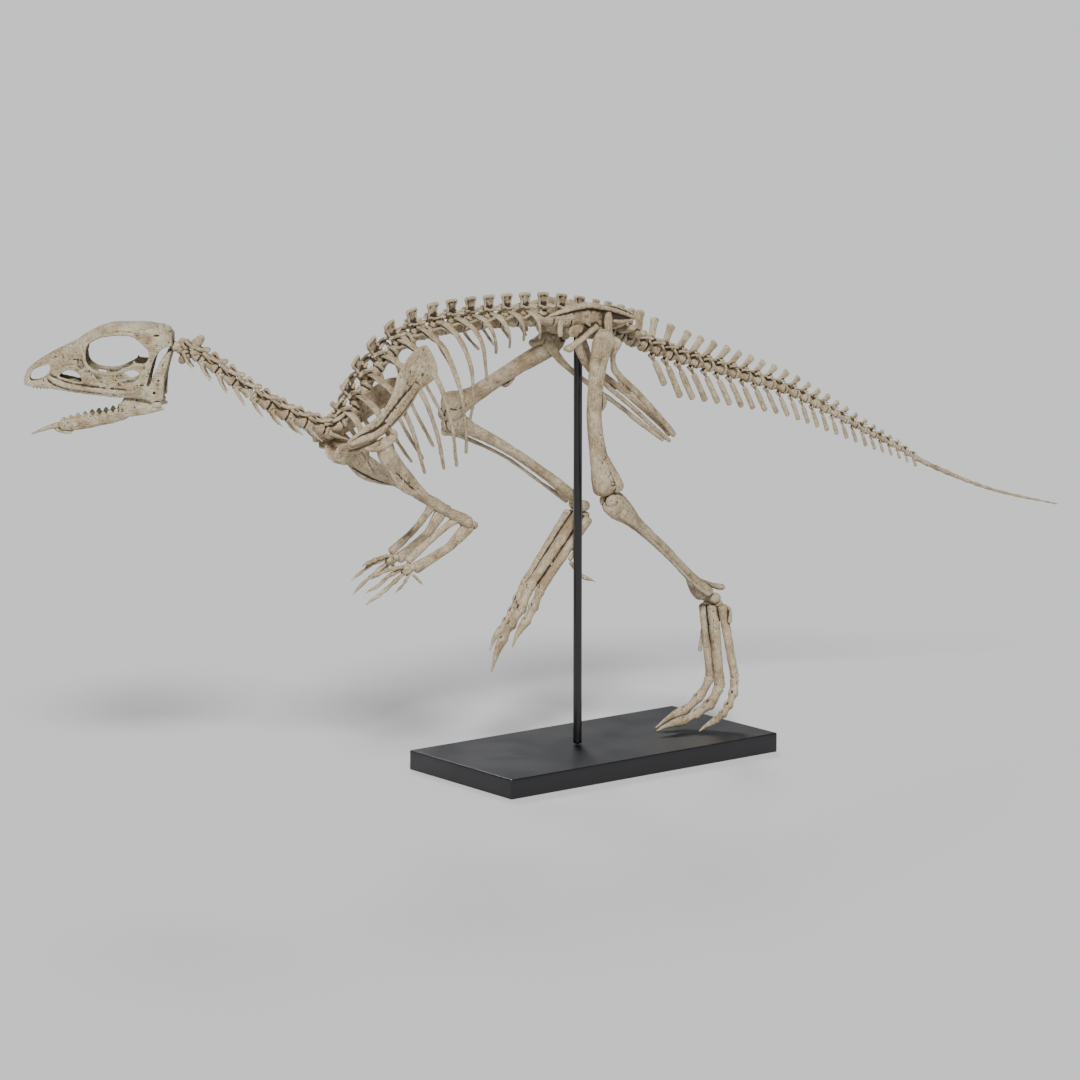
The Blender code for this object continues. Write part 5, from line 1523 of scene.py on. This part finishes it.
class SKELETON_OT_skull(PieceOperator):
    """Build the skull with its openings and beak teeth"""
    bl_idname = "skeleton.skull"
    bl_label = "Skull"

    def build(self, context):
        shell = new_item("skull_shell", mesh_of("skull_shell", [skull_surface(SKULL_SECTIONS)]))
        cut(shell, [skull_cavity()])
        cut(shell, skull_windows())
        trim = new_item("skull_trim", mesh_of("skull_trim", skull_trim()))
        joined = join([shell, trim], "skull_bone")
        finish = finish_for("skull_finish", "skull_light")
        finish_bone(joined, ["skull"], [skull_surface(SKULL_SECTIONS)], finish, 1.0, 3)


class SKELETON_OT_jaw(PieceOperator):
    """Build the lower jaw with its leaf-shaped teeth"""
    bl_idname = "skeleton.jaw"
    bl_label = "Lower jaw"

    def build(self, context):
        make_bone("lower_jaw", lower_jaw(), 5, 0.7, key="skull_light", slot="skull_bone")


class SKELETON_OT_neck(PieceOperator):
    """Build the neck"""
    bl_idname = "skeleton.neck"
    bl_label = "Neck"

    def build(self, context):
        make_bone("neck_front", neck(0, NECK_SPLIT), 9, 0.75)
        make_bone("neck_rear", neck(NECK_SPLIT, NECK_COUNT), 13, 0.75)


class SKELETON_OT_chest(PieceOperator):
    """Build the back vertebrae and the ribs of each side"""
    bl_idname = "skeleton.chest"
    bl_label = "Chest"

    def build(self, context):
        make_bone("backbone", backbone(), 17, 0.92, ["chest_left", "chest_right"])
        for side in SIDES:
            word = SIDE_NAME[side]
            make_bone("ribs_" + word, rib_cage(side), 19, 0.85, ["chest_" + word])


class SKELETON_OT_hips(PieceOperator):
    """Build the sacrum and the hip bones"""
    bl_idname = "skeleton.hips"
    bl_label = "Hips"
    bones = (("ilium", ilium, 23), ("pubis", pubis, 25), ("ischium", ischium, 27))

    def build(self, context):
        make_bone("sacrum", sacrum(), 21)
        super().build(context)


class SKELETON_OT_tail(PieceOperator):
    """Build the tail"""
    bl_idname = "skeleton.tail"
    bl_label = "Tail"

    def build(self, context):
        for number, (first, last) in enumerate(zip(TAIL_SPLITS, TAIL_SPLITS[1:]), 1):
            make_bone("tail_%d" % number, tail_length(first, last), 30 + number, TAIL_VOXELS[number - 1])
        make_bone("tail_4", tail_tip(), 35, 0.6)


class SKELETON_OT_shoulders(PieceOperator):
    """Build the shoulder blades, coracoids and breast plates"""
    bl_idname = "skeleton.shoulders"
    bl_label = "Shoulders"
    bones = (("scapula", scapula, 41), ("coracoid", coracoid, 43), ("sternum", sternum, 45))


class SKELETON_OT_arms(PieceOperator):
    """Build the arms and hands"""
    bl_idname = "skeleton.arms"
    bl_label = "Arms"
    bones = (("humerus", humerus, 51), ("radius", radius_bone, 53), ("ulna", ulna, 55),
             ("hand", hand, 57, 0.6))


class SKELETON_OT_legs(PieceOperator):
    """Build the legs"""
    bl_idname = "skeleton.legs"
    bl_label = "Legs"
    bones = (("femur", femur, 61), ("tibia", tibia, 63), ("fibula", fibula, 65), ("ankle", ankle, 67))


class SKELETON_OT_feet(PieceOperator):
    """Build the feet and toes"""
    bl_idname = "skeleton.feet"
    bl_label = "Feet"

    def build(self, context):
        for side in SIDES:
            word = SIDE_NAME[side]
            make_bone("metatarsus_" + word, metatarsus(side), 71, 0.8)
            for index in range(len(TOE_RADIUS)):
                make_bone("toe_%d_%s" % (index + 2, word), toe(side, index), 73 + index, 0.7)
        make_bone("toe_1_right", digit(HALLUX, HALLUX_RADIUS, 2), 79, 0.6)


class SKELETON_OT_stage(PieceOperator):
    """Build the pale floor, the soft lights and the camera"""
    bl_idname = "skeleton.stage"
    bl_label = "Stage"

    def build(self, context):
        settings = context.scene.skeleton_stage
        recipe = Recipe("floor_paper")
        recipe.shader.inputs["Base Color"].default_value = colour_of(settings.floor)
        recipe.shader.inputs["Roughness"].default_value = FLOOR_ROUGHNESS
        reach = FLOOR_REACH
        corners = [(-reach, -reach, 0), (reach, -reach, 0), (reach, reach, 0), (-reach, reach, 0)]
        mesh = bpy.data.meshes.new("floor")
        mesh.from_pydata(corners, [], [(0, 1, 2, 3)])
        floor = new_item("floor", mesh)
        floor.data.materials.append(recipe.material)
        world = bpy.data.worlds.new("studio")
        world.use_nodes = True
        background = world.node_tree.nodes["Background"]
        background.inputs["Color"].default_value = colour_of(WORLD_COLOUR)
        background.inputs["Strength"].default_value = WORLD_STRENGTH
        context.scene.world = world
        add_light("main_light", MAIN_LIGHT, settings.softness, settings.light)
        add_light("rim_light", RIM_LIGHT, settings.softness, settings.light * RIM_SHARE)
        camera = bpy.data.cameras.new("photo_view")
        camera.lens = CAMERA_LENS
        camera.sensor_width = CAMERA_SENSOR
        camera.sensor_height = CAMERA_SENSOR
        camera.sensor_fit = "HORIZONTAL"
        camera.clip_end = CAMERA_REACH
        item = new_item("photo_view", camera)
        item.location = CAMERA_PLACE
        item.rotation_euler = (math.pi / 2 - CAMERA_PITCH, 0, -CAMERA_YAW)
        context.scene.camera = item


def add_light(name, place, size, power):
    """A sun lamp at a place, turned towards the middle of the skeleton."""
    light = bpy.data.lights.new(name, "SUN")
    light.angle = size
    light.energy = power
    item = new_item(name, light)
    item.location = place
    way = np.array(LIT_PLACE) - place
    item.rotation_euler = (math.atan2(math.hypot(way[0], way[1]), -way[2]), 0,
                           math.atan2(way[1], way[0]) - math.pi / 2)


class SKELETON_PT_panel(bpy.types.Panel):
    """The skeleton's operators and settings."""
    bl_idname = "SKELETON_PT_panel"
    bl_label = "Skeleton"
    bl_space_type = "VIEW_3D"
    bl_region_type = "UI"
    bl_category = "Skeleton"

    def draw(self, context):
        for group in SETTINGS:
            settings = getattr(context.scene, group)
            for key in settings.__annotations__:
                self.layout.prop(settings, key)
        for operator in OPERATORS:
            self.layout.operator(operator.bl_idname)


SETTINGS = {"skeleton_bones": BoneSettings, "skeleton_stand": StandSettings,
            "skeleton_stage": StageSettings}
OPERATORS = [SKELETON_OT_stage, SKELETON_OT_stand, SKELETON_OT_skull, SKELETON_OT_jaw, SKELETON_OT_neck,
             SKELETON_OT_chest, SKELETON_OT_hips, SKELETON_OT_tail, SKELETON_OT_shoulders,
             SKELETON_OT_arms, SKELETON_OT_legs, SKELETON_OT_feet]


def register():
    for kind in (*SETTINGS.values(), *OPERATORS, SKELETON_PT_panel):
        bpy.utils.register_class(kind)
    for name, kind in SETTINGS.items():
        setattr(bpy.types.Scene, name, PointerProperty(type=kind))


def unregister():
    for name in SETTINGS:
        delattr(bpy.types.Scene, name)
    for kind in (SKELETON_PT_panel, *reversed(OPERATORS), *reversed(list(SETTINGS.values()))):
        bpy.utils.unregister_class(kind)


def main():
    register()
    for operator in OPERATORS:
        group, name = operator.bl_idname.split(".")
        getattr(getattr(bpy.ops, group), name)()


if __name__ == "__main__":
    main()
